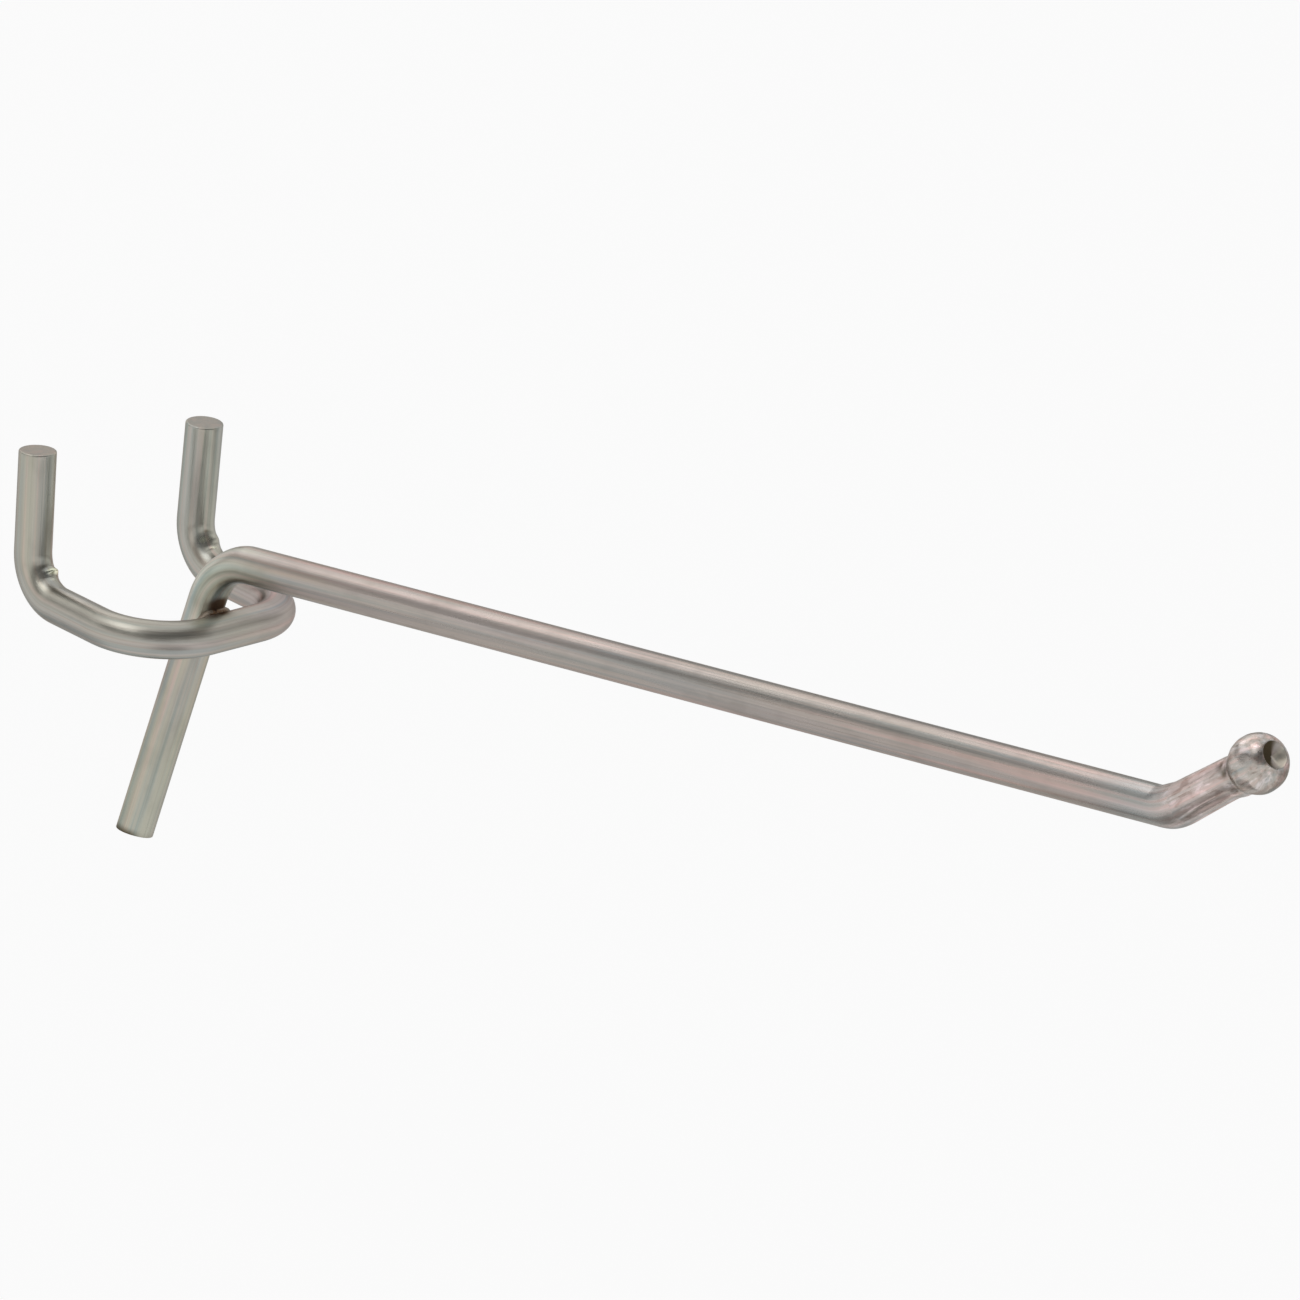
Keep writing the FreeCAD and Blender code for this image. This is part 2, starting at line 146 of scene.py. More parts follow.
class FinishTree:
    """The node tree of one material or world, filled a node at a time.

    Attributes:
        nodes: Its nodes.
        links: Its links.
    """

    def __init__(self, owner: bpy.types.Material | bpy.types.World) -> None:
        """Empty the owner's tree.

        Args:
            owner: The material or world to fill.
        """
        owner.use_nodes = True
        self.nodes = owner.node_tree.nodes
        self.links = owner.node_tree.links
        self.nodes.clear()

    def make(
        self,
        kind: str,
        settings: dict[str, Any] | None = None,
        inputs: dict[str | int, Any] | None = None,
    ) -> bpy.types.Node:
        """Make a node, set it up, then feed its sockets.

        Args:
            kind: The node's type.
            settings: Its own settings, such as a blend type.
            inputs: Values, signals or sockets, by the socket's name or number.

        Returns:
            The new node.
        """
        node = self.nodes.new(kind)
        for name, value in (settings or {}).items():
            setattr(node, name, value)
        for name, value in (inputs or {}).items():
            self._feed(node, name, value)
        return node

    def _feed(self, node: bpy.types.Node, name: str | int, value: Any) -> None:
        """Link or set one socket of a node.

        Args:
            node: The node to feed.
            name: The socket's name among those in use, or its number.
            value: A signal or socket to link, or a plain value.
        """
        if isinstance(name, int):
            socket = node.inputs[name]
        else:
            socket = next(s for s in node.inputs if s.enabled and s.name == name)
        if isinstance(value, Signal):
            self.links.new(value.socket, socket)
        elif isinstance(value, bpy.types.NodeSocket):
            self.links.new(value, socket)
        elif socket.type == "RGBA" and len(value) == 3:
            socket.default_value = (*value, 1.0)
        else:
            socket.default_value = value

    def math(self, step: Step, first: Signal | float, second: Signal | float) -> Signal:
        """Join two numbers by one step of arithmetic.

        Args:
            step: The step.
            first: The left value.
            second: The right value.

        Returns:
            The result.
        """
        node = self.make("ShaderNodeMath", {"operation": step.value}, {0: first, 1: second})
        return Signal(self, node.outputs[0])

    def layer(self, layer: Layer) -> Signal:
        """Read a number that the skin carries."""
        node = self.make("ShaderNodeAttribute", {"attribute_name": layer.value})
        return Signal(self, node.outputs["Fac"])

    def along_wire(self, across: float, along: float, offset: float = 0.0) -> bpy.types.NodeSocket:
        """Give the wire's own coordinates, as if it were still straight.

        Args:
            across: Repeats per millimetre across the wire.
            along: Repeats per millimetre along it.
            offset: A shift that sets this pattern apart from the others.

        Returns:
            The vector to feed a texture.
        """
        node = self.make("ShaderNodeAttribute", {"attribute_name": Layer.STRAIGHT.value})
        factors = (across / MM, across / MM, along / MM)
        inputs = {0: node.outputs["Vector"], 1: factors, 2: (offset, offset, offset)}
        return self.make("ShaderNodeVectorMath", {"operation": "MULTIPLY_ADD"}, inputs).outputs[0]

    def noise(self, where: bpy.types.NodeSocket, detail: float = 2.0, rough: float = 0.5) -> Signal:
        """Read soft noise, about one blotch per unit of the coordinates.

        Args:
            where: The coordinates.
            detail: How many finer layers are added.
            rough: How strong the finer layers are.

        Returns:
            A number round 0.5.
        """
        inputs = {"Vector": where, "Scale": 1.0, "Detail": detail, "Roughness": rough}
        node = self.make("ShaderNodeTexNoise", {"noise_dimensions": "3D"}, inputs)
        return Signal(self, node.outputs[0])

    def mix(
        self,
        share: Signal | float,
        first: Colour | bpy.types.NodeSocket,
        second: Colour | bpy.types.NodeSocket,
        blend: str = "MIX",
    ) -> bpy.types.NodeSocket:
        """Blend two colours.

        Args:
            share: How much of the second colour shows.
            first: The colour beneath.
            second: The colour on top.
            blend: How they blend.

        Returns:
            The blended colour's socket.
        """
        settings = {"data_type": "RGBA", "blend_type": blend}
        node = self.make("ShaderNodeMix", settings, {"Factor": share, "A": first, "B": second})
        return next(s for s in node.outputs if s.enabled)


@dataclass(frozen=True)
class ZincFinish:
    """Bright zinc plating over drawn steel wire.

    Attributes:
        name: The material's name.
        seed: What sets this piece's pattern apart.
        film: How much of the yellow-green film shows.
        weld_film: How much of it shows next to the weld.
        grey: The plating's main colour.
        warm: The pinkish tint of some of its long bands.
        cool: The blue-grey tint of others.
        straw: The yellow-green of the thin passivation film.
        burnt: The brown beside the weld.
        sheared: The tan of a cut end.
        painted_shade: The dark colour towards which painted shade darkens grooves, dents, pits and
            the foot's edge.
        rim: How bright the plating stays where it is seen edge on.
        lined: What the drawing lines multiply the colour by in their grooves.
        polished: What they multiply it by on their crests.
        clouded: What its cloudy places multiply it by.
        whitened: What the pale blotches of a worked place multiply it by.
        dulled: What the dark blotches there multiply it by.
        painted_highlight: What a painted highlight multiplies the colour by.
        relief: How strongly its relief turns the light.
        groove: Depth of the drawing lines, in millimetres.
    """

    name: str
    seed: float
    film: float = 0.5
    weld_film: float = 0.5
    grey: Colour = (0.400, 0.400, 0.400)
    warm: Colour = (0.500, 0.428, 0.425)
    cool: Colour = (0.305, 0.345, 0.362)
    straw: Colour = (0.425, 0.425, 0.325)
    burnt: Colour = (0.120, 0.062, 0.028)
    sheared: Colour = (0.400, 0.360, 0.330)
    painted_shade: Colour = (0.085, 0.064, 0.034)
    rim: Colour = (0.58, 0.56, 0.54)
    lined: Colour = (0.50, 0.47, 0.44)
    polished: Colour = (1.55, 1.55, 1.55)
    clouded: Colour = (0.66, 0.66, 0.64)
    whitened: Colour = (1.42, 1.42, 1.50)
    dulled: Colour = (0.62, 0.55, 0.52)
    painted_highlight: Colour = (1.90, 1.95, 1.75)
    relief: float = 0.40
    groove: float = 0.07

    def material(self) -> bpy.types.Material:
        """Make the material.

        Returns:
            The finished material.
        """
        material = bpy.data.materials.new(self.name)
        tree = FinishTree(material)
        lines = tree.noise(tree.along_wire(3.2, 0.02, self.seed), 4.0, 0.6)
        hairs = tree.noise(tree.along_wire(11.0, 0.12, self.seed + 3.0), 2.0, 0.6)
        cloud = tree.noise(tree.along_wire(0.35, 0.16, self.seed + 7.0), 3.0, 0.55)
        grain = tree.noise(tree.along_wire(6.0, 6.0, self.seed + 11.0), 3.0, 0.6)
        inputs = {
            "Base Color": self._colour(tree, lines, cloud),
            "Metallic": 1.0,
            "Roughness": self._roughness(tree, lines, cloud, grain),
            "Normal": self._relief(tree, lines, hairs, grain),
            "Specular Tint": self.rim,
        }
        surface = tree.make("ShaderNodeBsdfPrincipled", {}, inputs)
        tree.make("ShaderNodeOutputMaterial", {}, {"Surface": surface.outputs[0]})
        return material

    def _colour(self, tree: FinishTree, lines: Signal, cloud: Signal) -> bpy.types.NodeSocket:
        """Tint the plating in long bands, darken it at cuts and weld, and paint shade and
        highlights on marks and pits.

        Args:
            tree: The material's tree.
            lines: The drawing lines.
            cloud: Slow changes of the plating.

        Returns:
            The colour's socket.
        """
        bands = tree.noise(tree.along_wire(0.95, 0.012, self.seed + 19.0), 3.0, 0.55)
        film = tree.noise(tree.along_wire(0.45, 0.03, self.seed + 29.0), 3.0, 0.55)
        share = self.film + (self.weld_film - self.film) * tree.layer(Layer.NEAR_WELD)
        warmed = tree.mix(bands.eased(0.50, 0.66), self.grey, self.warm)
        cooled = tree.mix(1.0 - bands.eased(0.34, 0.50), warmed, self.cool)
        filmed = tree.mix(film.eased(0.36, 0.62) * share, cooled, self.straw)
        read = tree.make("ShaderNodeAttribute", {"attribute_name": Layer.TINT.value})
        tinted = tree.mix(1.0, filmed, read.outputs["Color"], "MULTIPLY")
        grooves, crests = lines.eased(0.52, 0.30), lines.eased(0.56, 0.78)
        lined = tree.mix(grooves * 0.34, tinted, self.lined, "MULTIPLY")
        raised = tree.mix(crests * 0.30, lined, self.polished, "MULTIPLY")
        clouded = tree.mix(cloud.eased(0.48, 0.72) * 0.30, raised, self.clouded, "MULTIPLY")
        worked = tree.layer(Layer.WORKED)
        blotch = tree.noise(tree.along_wire(1.0, 0.30, self.seed + 37.0), 3.0, 0.6)
        pale = blotch.eased(0.52, 0.66) * worked * 0.9
        whitened = tree.mix(pale, clouded, self.whitened, "MULTIPLY")
        dull = blotch.eased(0.48, 0.35) * worked * 0.7
        blotched = tree.mix(dull, whitened, self.dulled, "MULTIPLY")
        ended = tree.mix(tree.layer(Layer.CUT) * 0.65, blotched, self.sheared)
        # Painted shade darkens marks where this layer is positive; a painted highlight brightens
        # them where it is negative.
        recess = tree.layer(Layer.RECESS)
        painted_highlight = tree.mix((0.0 - recess).eased(0.05, 0.85), ended, self.painted_highlight, "MULTIPLY")
        shade_painted = tree.mix(recess.eased(0.05, 0.95) * 0.95, painted_highlight, self.painted_shade)
        scorch = tree.layer(Layer.SCORCH) * (0.5 + cloud)
        return tree.mix(scorch.eased(0.22, 0.72) * 0.92, shade_painted, self.burnt)

    def _roughness(
        self, tree: FinishTree, lines: Signal, cloud: Signal, grain: Signal
    ) -> Signal:
        """Vary the gloss: satin along the wire, duller at cuts and burns.

        Args:
            tree: The material's tree.
            lines: The drawing lines.
            cloud: Slow changes of the plating.
            grain: The plating's own grain.

        Returns:
            The roughness.
        """
        dull = (tree.layer(Layer.CUT) | tree.layer(Layer.SCORCH)) * 0.22
        dull = dull + 0.06 * tree.layer(Layer.NEAR_WELD) + 0.15 * tree.layer(Layer.RECESS)
        return 0.14 + 0.12 * lines + 0.12 * cloud + 0.06 * grain + dull

    def _relief(
        self, tree: FinishTree, lines: Signal, hairs: Signal, grain: Signal
    ) -> bpy.types.NodeSocket:
        """Raise the drawing lines and the plating's grain.

        Args:
            tree: The material's tree.
            lines: The drawing lines.
            hairs: Finer scratches along the wire.
            grain: The plating's own grain.

        Returns:
            The normal's socket.
        """
        height = 0.60 * lines + 0.25 * hairs + 0.25 * grain
        inputs = {"Strength": self.relief, "Distance": self.groove * MM, "Height": height}
        return tree.make("ShaderNodeBump", {}, inputs).outputs[0]


@dataclass(frozen=True)
class WeldFinish:
    """Weld metal, browned by its heat and dulled by the plating over it.

    Attributes:
        name: The material's name.
        metal: Its brightest places.
        burnt: Its brown places.
        soot: Its darkest places.
        patches: Its patches of colour per metre.
    """

    name: str = "weld_metal"
    metal: Colour = (0.300, 0.250, 0.200)
    burnt: Colour = (0.165, 0.092, 0.046)
    soot: Colour = (0.045, 0.030, 0.022)
    patches: float = 900.0

    def material(self) -> bpy.types.Material:
        """Make the material.

        Returns:
            The finished material.
        """
        material = bpy.data.materials.new(self.name)
        tree = FinishTree(material)
        place = tree.make("ShaderNodeTexCoord").outputs["Object"]
        scaled = {0: place, 1: (self.patches, self.patches, self.patches)}
        where = tree.make("ShaderNodeVectorMath", {"operation": "MULTIPLY"}, scaled).outputs[0]
        patches = tree.noise(where, 3.0, 0.6)
        burnt = tree.mix(patches.eased(0.40, 0.58), self.burnt, self.metal)
        colour = tree.mix(patches.eased(0.44, 0.30), burnt, self.soot)
        bump = {"Strength": 0.5, "Distance": 0.0001, "Height": patches}
        inputs = {
            "Base Color": colour,
            "Metallic": 0.8,
            "Roughness": 0.38 + 0.3 * patches,
            "Normal": tree.make("ShaderNodeBump", {}, bump).outputs[0],
        }
        surface = tree.make("ShaderNodeBsdfPrincipled", {}, inputs)
        tree.make("ShaderNodeOutputMaterial", {}, {"Surface": surface.outputs[0]})
        return material


@dataclass(frozen=True)
class Frames:
    """Places and directions at several stations of a middle line.

    Attributes:
        place: Where each station is.
        forward: The way the line runs there.
        normal: A direction square to it, carried along without twist.
        inward: The way to the bend's centre, or zeros on a straight run.
        share: How far round its bend each station is, or 0 on a straight run.
    """

    place: np.ndarray
    forward: np.ndarray
    normal: np.ndarray
    inward: np.ndarray
    share: np.ndarray

    @property
    def side(self) -> np.ndarray:
        """The third direction, square to the other two."""
        return np.cross(self.forward, self.normal)


@dataclass(frozen=True)
class Stretch:
    """One straight run or one bend of a middle line.

    Attributes:
        start: Distance along the line at which it starts.
        length: Its own length.
        place: Its first point.
        forward: Its first direction.
        normal: The carried direction at its start.
        inward: The way to the bend's centre, or None on a straight run.
        radius: The bend's radius.
    """

    start: float
    length: float
    place: np.ndarray
    forward: np.ndarray
    normal: np.ndarray
    inward: np.ndarray | None = None
    radius: float = 0.0

    def frames(self, along: np.ndarray) -> Frames:
        """Work out the stations at some distances along the whole line.

        Args:
            along: The distances, all within this stretch.

        Returns:
            The stations.
        """
        went = (along - self.start)[:, None]
        count = len(along)
        if self.inward is None:
            place = self.place + went * self.forward
            still = np.zeros((count, 3))
            ahead = np.tile(self.forward, (count, 1))
            return Frames(place, ahead, np.tile(self.normal, (count, 1)), still, still[:, 0])
        turn = went / self.radius
        axis = np.cross(self.forward, self.inward)
        cosine, sine = np.cos(turn), np.sin(turn)
        forward = cosine * self.forward + sine * self.inward
        inward = cosine * self.inward - sine * self.forward
        place = self.place + self.radius * (self.inward - inward)
        flat = self.normal - axis * (axis @ self.normal)
        normal = axis * (axis @ self.normal) + cosine * flat + sine * np.cross(axis, flat)
        return Frames(place, forward, normal, inward, went[:, 0] / self.length)


class MiddleLine:
    """A wire's middle line: straight runs joined by tangent bends.

    Attributes:
        stretches: Its runs and bends, in order.
        length: Its whole length.
    """

    def __init__(self, corners: Sequence[Point], radii: Sequence[float], normal: Point) -> None:
        """Lay the line out.

        Args:
            corners: The first point, each bend's virtual corner and the last.
            radii: Each bend's radius.
            normal: A direction square to the first run.
        """
        points = [np.array(corner, float) for corner in corners]
        carried = np.array(normal, float)
        self.stretches: list[Stretch] = []
        self.length = 0.0
        place = points[0]
        for index, corner in enumerate(points[1:], start=1):
            forward = self._unit(corner - points[index - 1])
            setback, turn, inward = 0.0, 0.0, None
            if index < len(points) - 1:
                leaving = self._unit(points[index + 1] - corner)
                turn = math.acos(float(np.clip(forward @ leaving, -1.0, 1.0)))
                inward = self._unit(leaving - forward * (forward @ leaving))
                setback = radii[index - 1] * math.tan(turn / 2)
            end = corner - forward * setback
            run = float(np.linalg.norm(end - place))
            self._add(Stretch(self.length, run, place, forward, carried))
            place = end
            if inward is not None:
                radius = radii[index - 1]
                bend = Stretch(self.length, radius * turn, end, forward, carried, inward, radius)
                self._add(bend)
                last = bend.frames(np.array([self.length]))
                place, carried = last.place[0], last.normal[0]

    def _add(self, stretch: Stretch) -> None:
        """Add a stretch at the line's end."""
        self.stretches.append(stretch)
        self.length += stretch.length

    @staticmethod
    def _unit(vector: np.ndarray) -> np.ndarray:
        """Scale a vector to length 1."""
        return vector / np.linalg.norm(vector)

    @property
    def bends(self) -> list[Stretch]:
        """The line's bends, in order."""
        return [stretch for stretch in self.stretches if stretch.inward is not None]

    def frames(self, along: np.ndarray) -> Frames:
        """Work out the stations at any distances along the line.

        Args:
            along: The distances, which needn't rise.

        Returns:
            The stations, in the same order.
        """
        starts = np.array([stretch.start for stretch in self.stretches])
        owner = np.clip(np.searchsorted(starts, along, side="right") - 1, 0, len(starts) - 1)
        names = ("place", "forward", "normal", "inward")
        rows = {name: np.zeros((len(along), 3)) for name in names}
        share = np.zeros(len(along))
        for index, stretch in enumerate(self.stretches):
            mine = owner == index
            if not mine.any():
                continue
            found = stretch.frames(along[mine])
            for name, row in rows.items():
                row[mine] = getattr(found, name)
            share[mine] = found.share
        return Frames(**rows, share=share)

    def stations(self, coarse: float, fine: float) -> np.ndarray:
        """Space stations widely on straight runs and closely in bends.

        Args:
            coarse: Spacing on a straight run.
            fine: Spacing in a bend.

        Returns:
            The distances along the line, both ends included.
        """
        parts = []
        for stretch in self.stretches:
            step = coarse if stretch.inward is None else fine
            count = max(2, math.ceil(stretch.length / step))
            parts.append(stretch.start + np.linspace(0.0, stretch.length, count, endpoint=False))
        return np.append(np.concatenate(parts), self.length)


class Rule:
    """Something that changes the wire's radius in places, and may paint shade or highlights on it.
    """

    def change(self, along: np.ndarray, frames: Frames, around: np.ndarray) -> np.ndarray:
        """Give the change of radius.

        Args:
            along: The stations' distances along the wire.
            frames: The stations.
            around: Directions from the middle line, per station.

        Returns:
            The change for each station and direction.
        """
        raise NotImplementedError

    def recess(self, along: np.ndarray, frames: Frames, around: np.ndarray) -> np.ndarray:
        """Give the painted shade at each place, or the painted highlight where negative; most marks
        paint none.
        """
        return np.zeros(around.shape[:2])

    @staticmethod
    def turns(frames: Frames, around: np.ndarray) -> np.ndarray:
        """Give how far each direction is turned round the wire."""
        side = np.einsum("mkc,mc->mk", around, frames.side)
        return np.arctan2(side, np.einsum("mkc,mc->mk", around, frames.normal))


@dataclass(frozen=True)
class FormedBend(Rule):
    """A bend in which the section leaves the round.

    Attributes:
        bend: The stretch that it belongs to.
        inplane: Growth halfway round, towards and away from the bend's centre.
        sides: Growth halfway round, square to the bend.
        after: Growth all round where the bend ends.
    """

    bend: Stretch
    inplane: float
    sides: float
    after: float = 0.0

    def change(self, along: np.ndarray, frames: Frames, around: np.ndarray) -> np.ndarray:
        """Give the change of radius, strongest halfway round.

        Args:
            along: The stations' distances along the wire.
            frames: The stations.
            around: Directions from the middle line, per station.

        Returns:
            The change for each station and direction.
        """
        within = (along >= self.bend.start) & (along <= self.bend.start + self.bend.length)
        share = np.where(within, frames.share, 0.0)[:, None]
        middle = np.sin(np.pi * share) ** 2
        gained = share**2 * (3.0 - 2.0 * share) * self.after
        towards = np.einsum("mkc,mc->mk", around, frames.inward) ** 2
        inplane, sides = self.inplane - self.after / 2, self.sides - self.after / 2
        return middle * (inplane * towards + sides * (1.0 - towards)) + gained


@dataclass(frozen=True)
class Mark(Rule):
    """A smooth bump or dent on the wire's skin, which may carry painted shade or a painted
    highlight.

    Attributes:
        along: Distance along the wire to its middle.
        facing: The direction that it faces.
        height: Its height, or its depth where negative.
        length: Its half length along the wire.
        width: Its half width across the wire.
        shade_and_highlight: How much painted shade darkens it, or how strong a painted highlight it
            gets where negative.
    """

    along: float
    facing: Point
    height: float
    length: float
    width: float
    shade_and_highlight: float = 0.0

    def _shape(self, along: np.ndarray, around: np.ndarray) -> np.ndarray:
        """Give the mark's outline as a number that fades from 1 to 0.

        Args:
            along: The stations' distances along the wire.
            around: Directions from the middle line, per station.

        Returns:
            The outline for each station and direction.
        """
        facing = np.array(self.facing) / np.linalg.norm(self.facing)
        reach = np.clip(around @ facing, -1.0, 1.0)
        across = np.arccos(reach) * WIRE_RADIUS / self.width
        away = ((along - self.along) / self.length)[:, None]
        return np.exp(-(across**2) - away**2)

    def change(self, along: np.ndarray, frames: Frames, around: np.ndarray) -> np.ndarray:
        """Give the change of radius."""
        return self.height * self._shape(along, around)

    def recess(self, along: np.ndarray, frames: Frames, around: np.ndarray) -> np.ndarray:
        """Give the painted shade at each place, or the painted highlight where negative."""
        return self.shade_and_highlight * self._shape(along, around)


@dataclass(frozen=True)
class Dab:
    """One part of a pinch mark, placed from the mark's middle.

    Attributes:
        rise: Distance along the wire, up the prong.
        turn: How far it turns to the right of the bend's inside.
        height: Its height, or its depth where negative.
        length: Its half length along the wire.
        width: Its half width across the wire.
        shade_and_highlight: How much painted shade darkens it, or how strong a painted highlight it
            gets where negative.
    """

    rise: float
    turn: float
    height: float
    length: float
    width: float
    shade_and_highlight: float


@dataclass(frozen=True)
class Flutes(Rule):
    """Shallow grooves along the wire, pressed in by a gripping tool.

    Attributes:
        start: Distance along the wire to where they begin.
        stop: Distance along it to where they end.
        depth: Their depth.
        count: How many stand round the wire.
        shade_and_highlight: How much painted shade darkens their bottoms.
    """

    start: float
    stop: float
    depth: float
    count: int
    shade_and_highlight: float = 0.5

    def _pressed(self, along: np.ndarray, frames: Frames, around: np.ndarray) -> np.ndarray:
        """Work out how deep each place lies in a groove, from 0 to 1.

        Args:
            along: The stations' distances.
            frames: The stations.
            around: Directions from the middle line, per station.

        Returns:
            The share of the full depth.
        """
        span = (along - self.start) / (self.stop - self.start)
        window = np.sin(np.pi * np.clip(span, 0.0, 1.0))[:, None] ** 2
        turn = self.turns(frames, around)
        wavy = np.sin(self.count * turn + 1.1 * np.sin(2.0 * turn + 0.6) + 0.9 * span[:, None])
        strong = 0.6 + 0.4 * np.sin(3.0 * turn + 1.9)
        return window * strong * np.clip(wavy, 0.0, 1.0) ** 1.5

    def change(self, along: np.ndarray, frames: Frames, around: np.ndarray) -> np.ndarray:
        """Give the change of radius."""
        return -self.depth * self._pressed(along, frames, around)

    def recess(self, along: np.ndarray, frames: Frames, around: np.ndarray) -> np.ndarray:
        """Give the painted shade in their bottoms."""
        return self.shade_and_highlight * self._pressed(along, frames, around)


@dataclass(frozen=True)
class Hammering(Rule):
    """Uneven dents all over a headed end.

    Attributes:
        start: Distance along the wire to where they begin.
        stop: Distance along it to where they end.
        depth: Their depth.
    """

    start: float
    stop: float
    depth: float

    def change(self, along: np.ndarray, frames: Frames, around: np.ndarray) -> np.ndarray:
        """Give the change of radius, as overlapping waves of two sizes.

        Args:
            along: The stations' distances along the wire.
            frames: The stations.
            around: Directions from the middle line, per station.

        Returns:
            The change for each station and direction.
        """
        span = np.clip((along - self.start) / (self.stop - self.start), 0.0, 1.0)[:, None]
        turn = self.turns(frames, around)
        coarse = np.sin(3.0 * turn + 5.0 * span + 0.7) * np.sin(7.0 * span + 2.0 * turn + 1.9)
        fine = np.sin(7.0 * turn - 9.0 * span + 2.2) * np.sin(17.0 * span - 3.0 * turn)
        window = np.sin(np.pi * span) ** 0.5
        return -self.depth * window * (0.5 + 0.35 * coarse + 0.15 * fine)


@dataclass(frozen=True)
class Flat(Rule):
    """A flat struck on the ball.

    Attributes:
        middle: Distance along the wire to the ball's middle.
        facing: The direction that the flat faces.
        distance: Its distance from the ball's middle.
        radius: The ball's radius.
        steepest: The slope beyond which the strike doesn't reach round the ball.
    """

    middle: float
    facing: Point
    distance: float
    radius: float
    steepest: float = 0.3

    def change(self, along: np.ndarray, frames: Frames, around: np.ndarray) -> np.ndarray:
        """Give the change of radius, down to the flat.

        Args:
            along: The stations' distances along the wire.
            frames: The stations.
            around: Directions from the middle line, per station.

        Returns:
            The change for each station and direction.
        """
        facing = np.array(self.facing) / np.linalg.norm(self.facing)
        ahead = along - self.middle
        radius = np.sqrt(np.clip(self.radius**2 - ahead**2, 0.0, None))[:, None]
        lengthwise = (ahead * (frames.forward @ facing))[:, None]
        across = around @ facing
        over = np.clip(lengthwise + radius * across - self.distance, 0.0, None)
        struck = (across > self.steepest) & (np.abs(ahead) < self.radius)[:, None]
        return np.where(struck, -over / np.clip(across, self.steepest, None), 0.0)


@dataclass(frozen=True)
class Tint:
    """A slow change of the plating's tint along the wire.

    Attributes:
        along: Distance along the wire to its middle.
        reach: Its half length.
        colour: The tint, where 1 leaves a colour as it is.
    """

    along: float
    reach: float
    colour: Colour

    def share(self, along: np.ndarray) -> np.ndarray:
        """Give how strong the tint is at each distance."""
        return np.exp(-(((along - self.along) / self.reach) ** 2))


@dataclass(frozen=True)
class Slant:
    """An end cut out of square.

    Attributes:
        end: Distance along the wire to the end.
        lean: Shift along the wire, per millimetre out from the middle line.
        fade: The length over which the shift dies away.
    """

    end: float
    lean: Point
    fade: float = 4.0

    def shift(self, along: np.ndarray, around: np.ndarray) -> np.ndarray:
        """Give the shift along the wire, per millimetre of radius."""
        near = np.clip(1.0 - np.abs(along - self.end) / self.fade, 0.0, 1.0)
        return near[:, None] * (around @ np.array(self.lean))


def ring_faces(rings: int, count: int, turned: bool = False) -> list[tuple[int, ...]]:
    """Join rings of points by quads, and close both ends by fans.

    Args:
        rings: How many rings there are. The two fans' middle points follow them.
        count: How many points each ring has.
        turned: Whether the faces look the other way.

    Returns:
        The faces, as point numbers.
    """
    step = np.arange(count)
    after = (step + 1) % count
    faces: list[tuple[int, ...]] = []
    for ring in range(rings - 1):
        low, high = ring * count, (ring + 1) * count
        faces += zip(low + step, high + step, high + after, low + after)
    end, middle = (rings - 1) * count, rings * count
    faces += zip(step, after, np.full(count, middle))
    faces += zip(end + after, end + step, np.full(count, middle + 1))
    if turned:
        faces = [(face[0], *face[:0:-1]) for face in faces]
    return [tuple(map(int, face)) for face in faces]


def smooth_object(
    name: str, points: np.ndarray, faces: list[tuple[int, ...]]
) -> bpy.types.Object:
    """Make a smooth-shaded object and put it in the scene.

    Args:
        name: The object's name.
        points: Its points, in millimetres.
        faces: Its faces.

    Returns:
        The new object.
    """
    mesh = bpy.data.meshes.new(name)
    mesh.from_pydata((points * MM).tolist(), [], faces)
    mesh.polygons.foreach_set("use_smooth", [True] * len(mesh.polygons))
    mesh.update()
    made = bpy.data.objects.new(name, mesh)
    bpy.context.scene.collection.objects.link(made)
    return made


def level_panel(name: str, width: float, depth: float) -> bpy.types.Object:
    """Make a plain rectangle that lies level, and put it in the scene.

    Args:
        name: The object's name.
        width: Its size along X, in metres.
        depth: Its size along Y, in metres.

    Returns:
        The new object.
    """
    half, deep = width / 2, depth / 2
    mesh = bpy.data.meshes.new(name)
    corners = [(-half, -deep, 0), (half, -deep, 0), (half, deep, 0), (-half, deep, 0)]
    mesh.from_pydata(corners, [], [(0, 1, 2, 3)])
    made = bpy.data.objects.new(name, mesh)
    bpy.context.scene.collection.objects.link(made)
    return made


@dataclass(frozen=True)
class Ring:
    """One ring of a wire's skin.

    Attributes:
        along: Distance along the wire.
        radius: The ring's radius.
        cut: How much it looks sheared. At 1 it belongs to a face that no rule changes.
        shade_and_highlight: How strong the painted shade on it is.
        lit: How much of the painted shade stays on the lit side, or how strong a painted highlight
            that side gets where negative.
    """

    along: float
    radius: float
    cut: float = 0.0
    shade_and_highlight: float = 0.0
    lit: float = 0.36


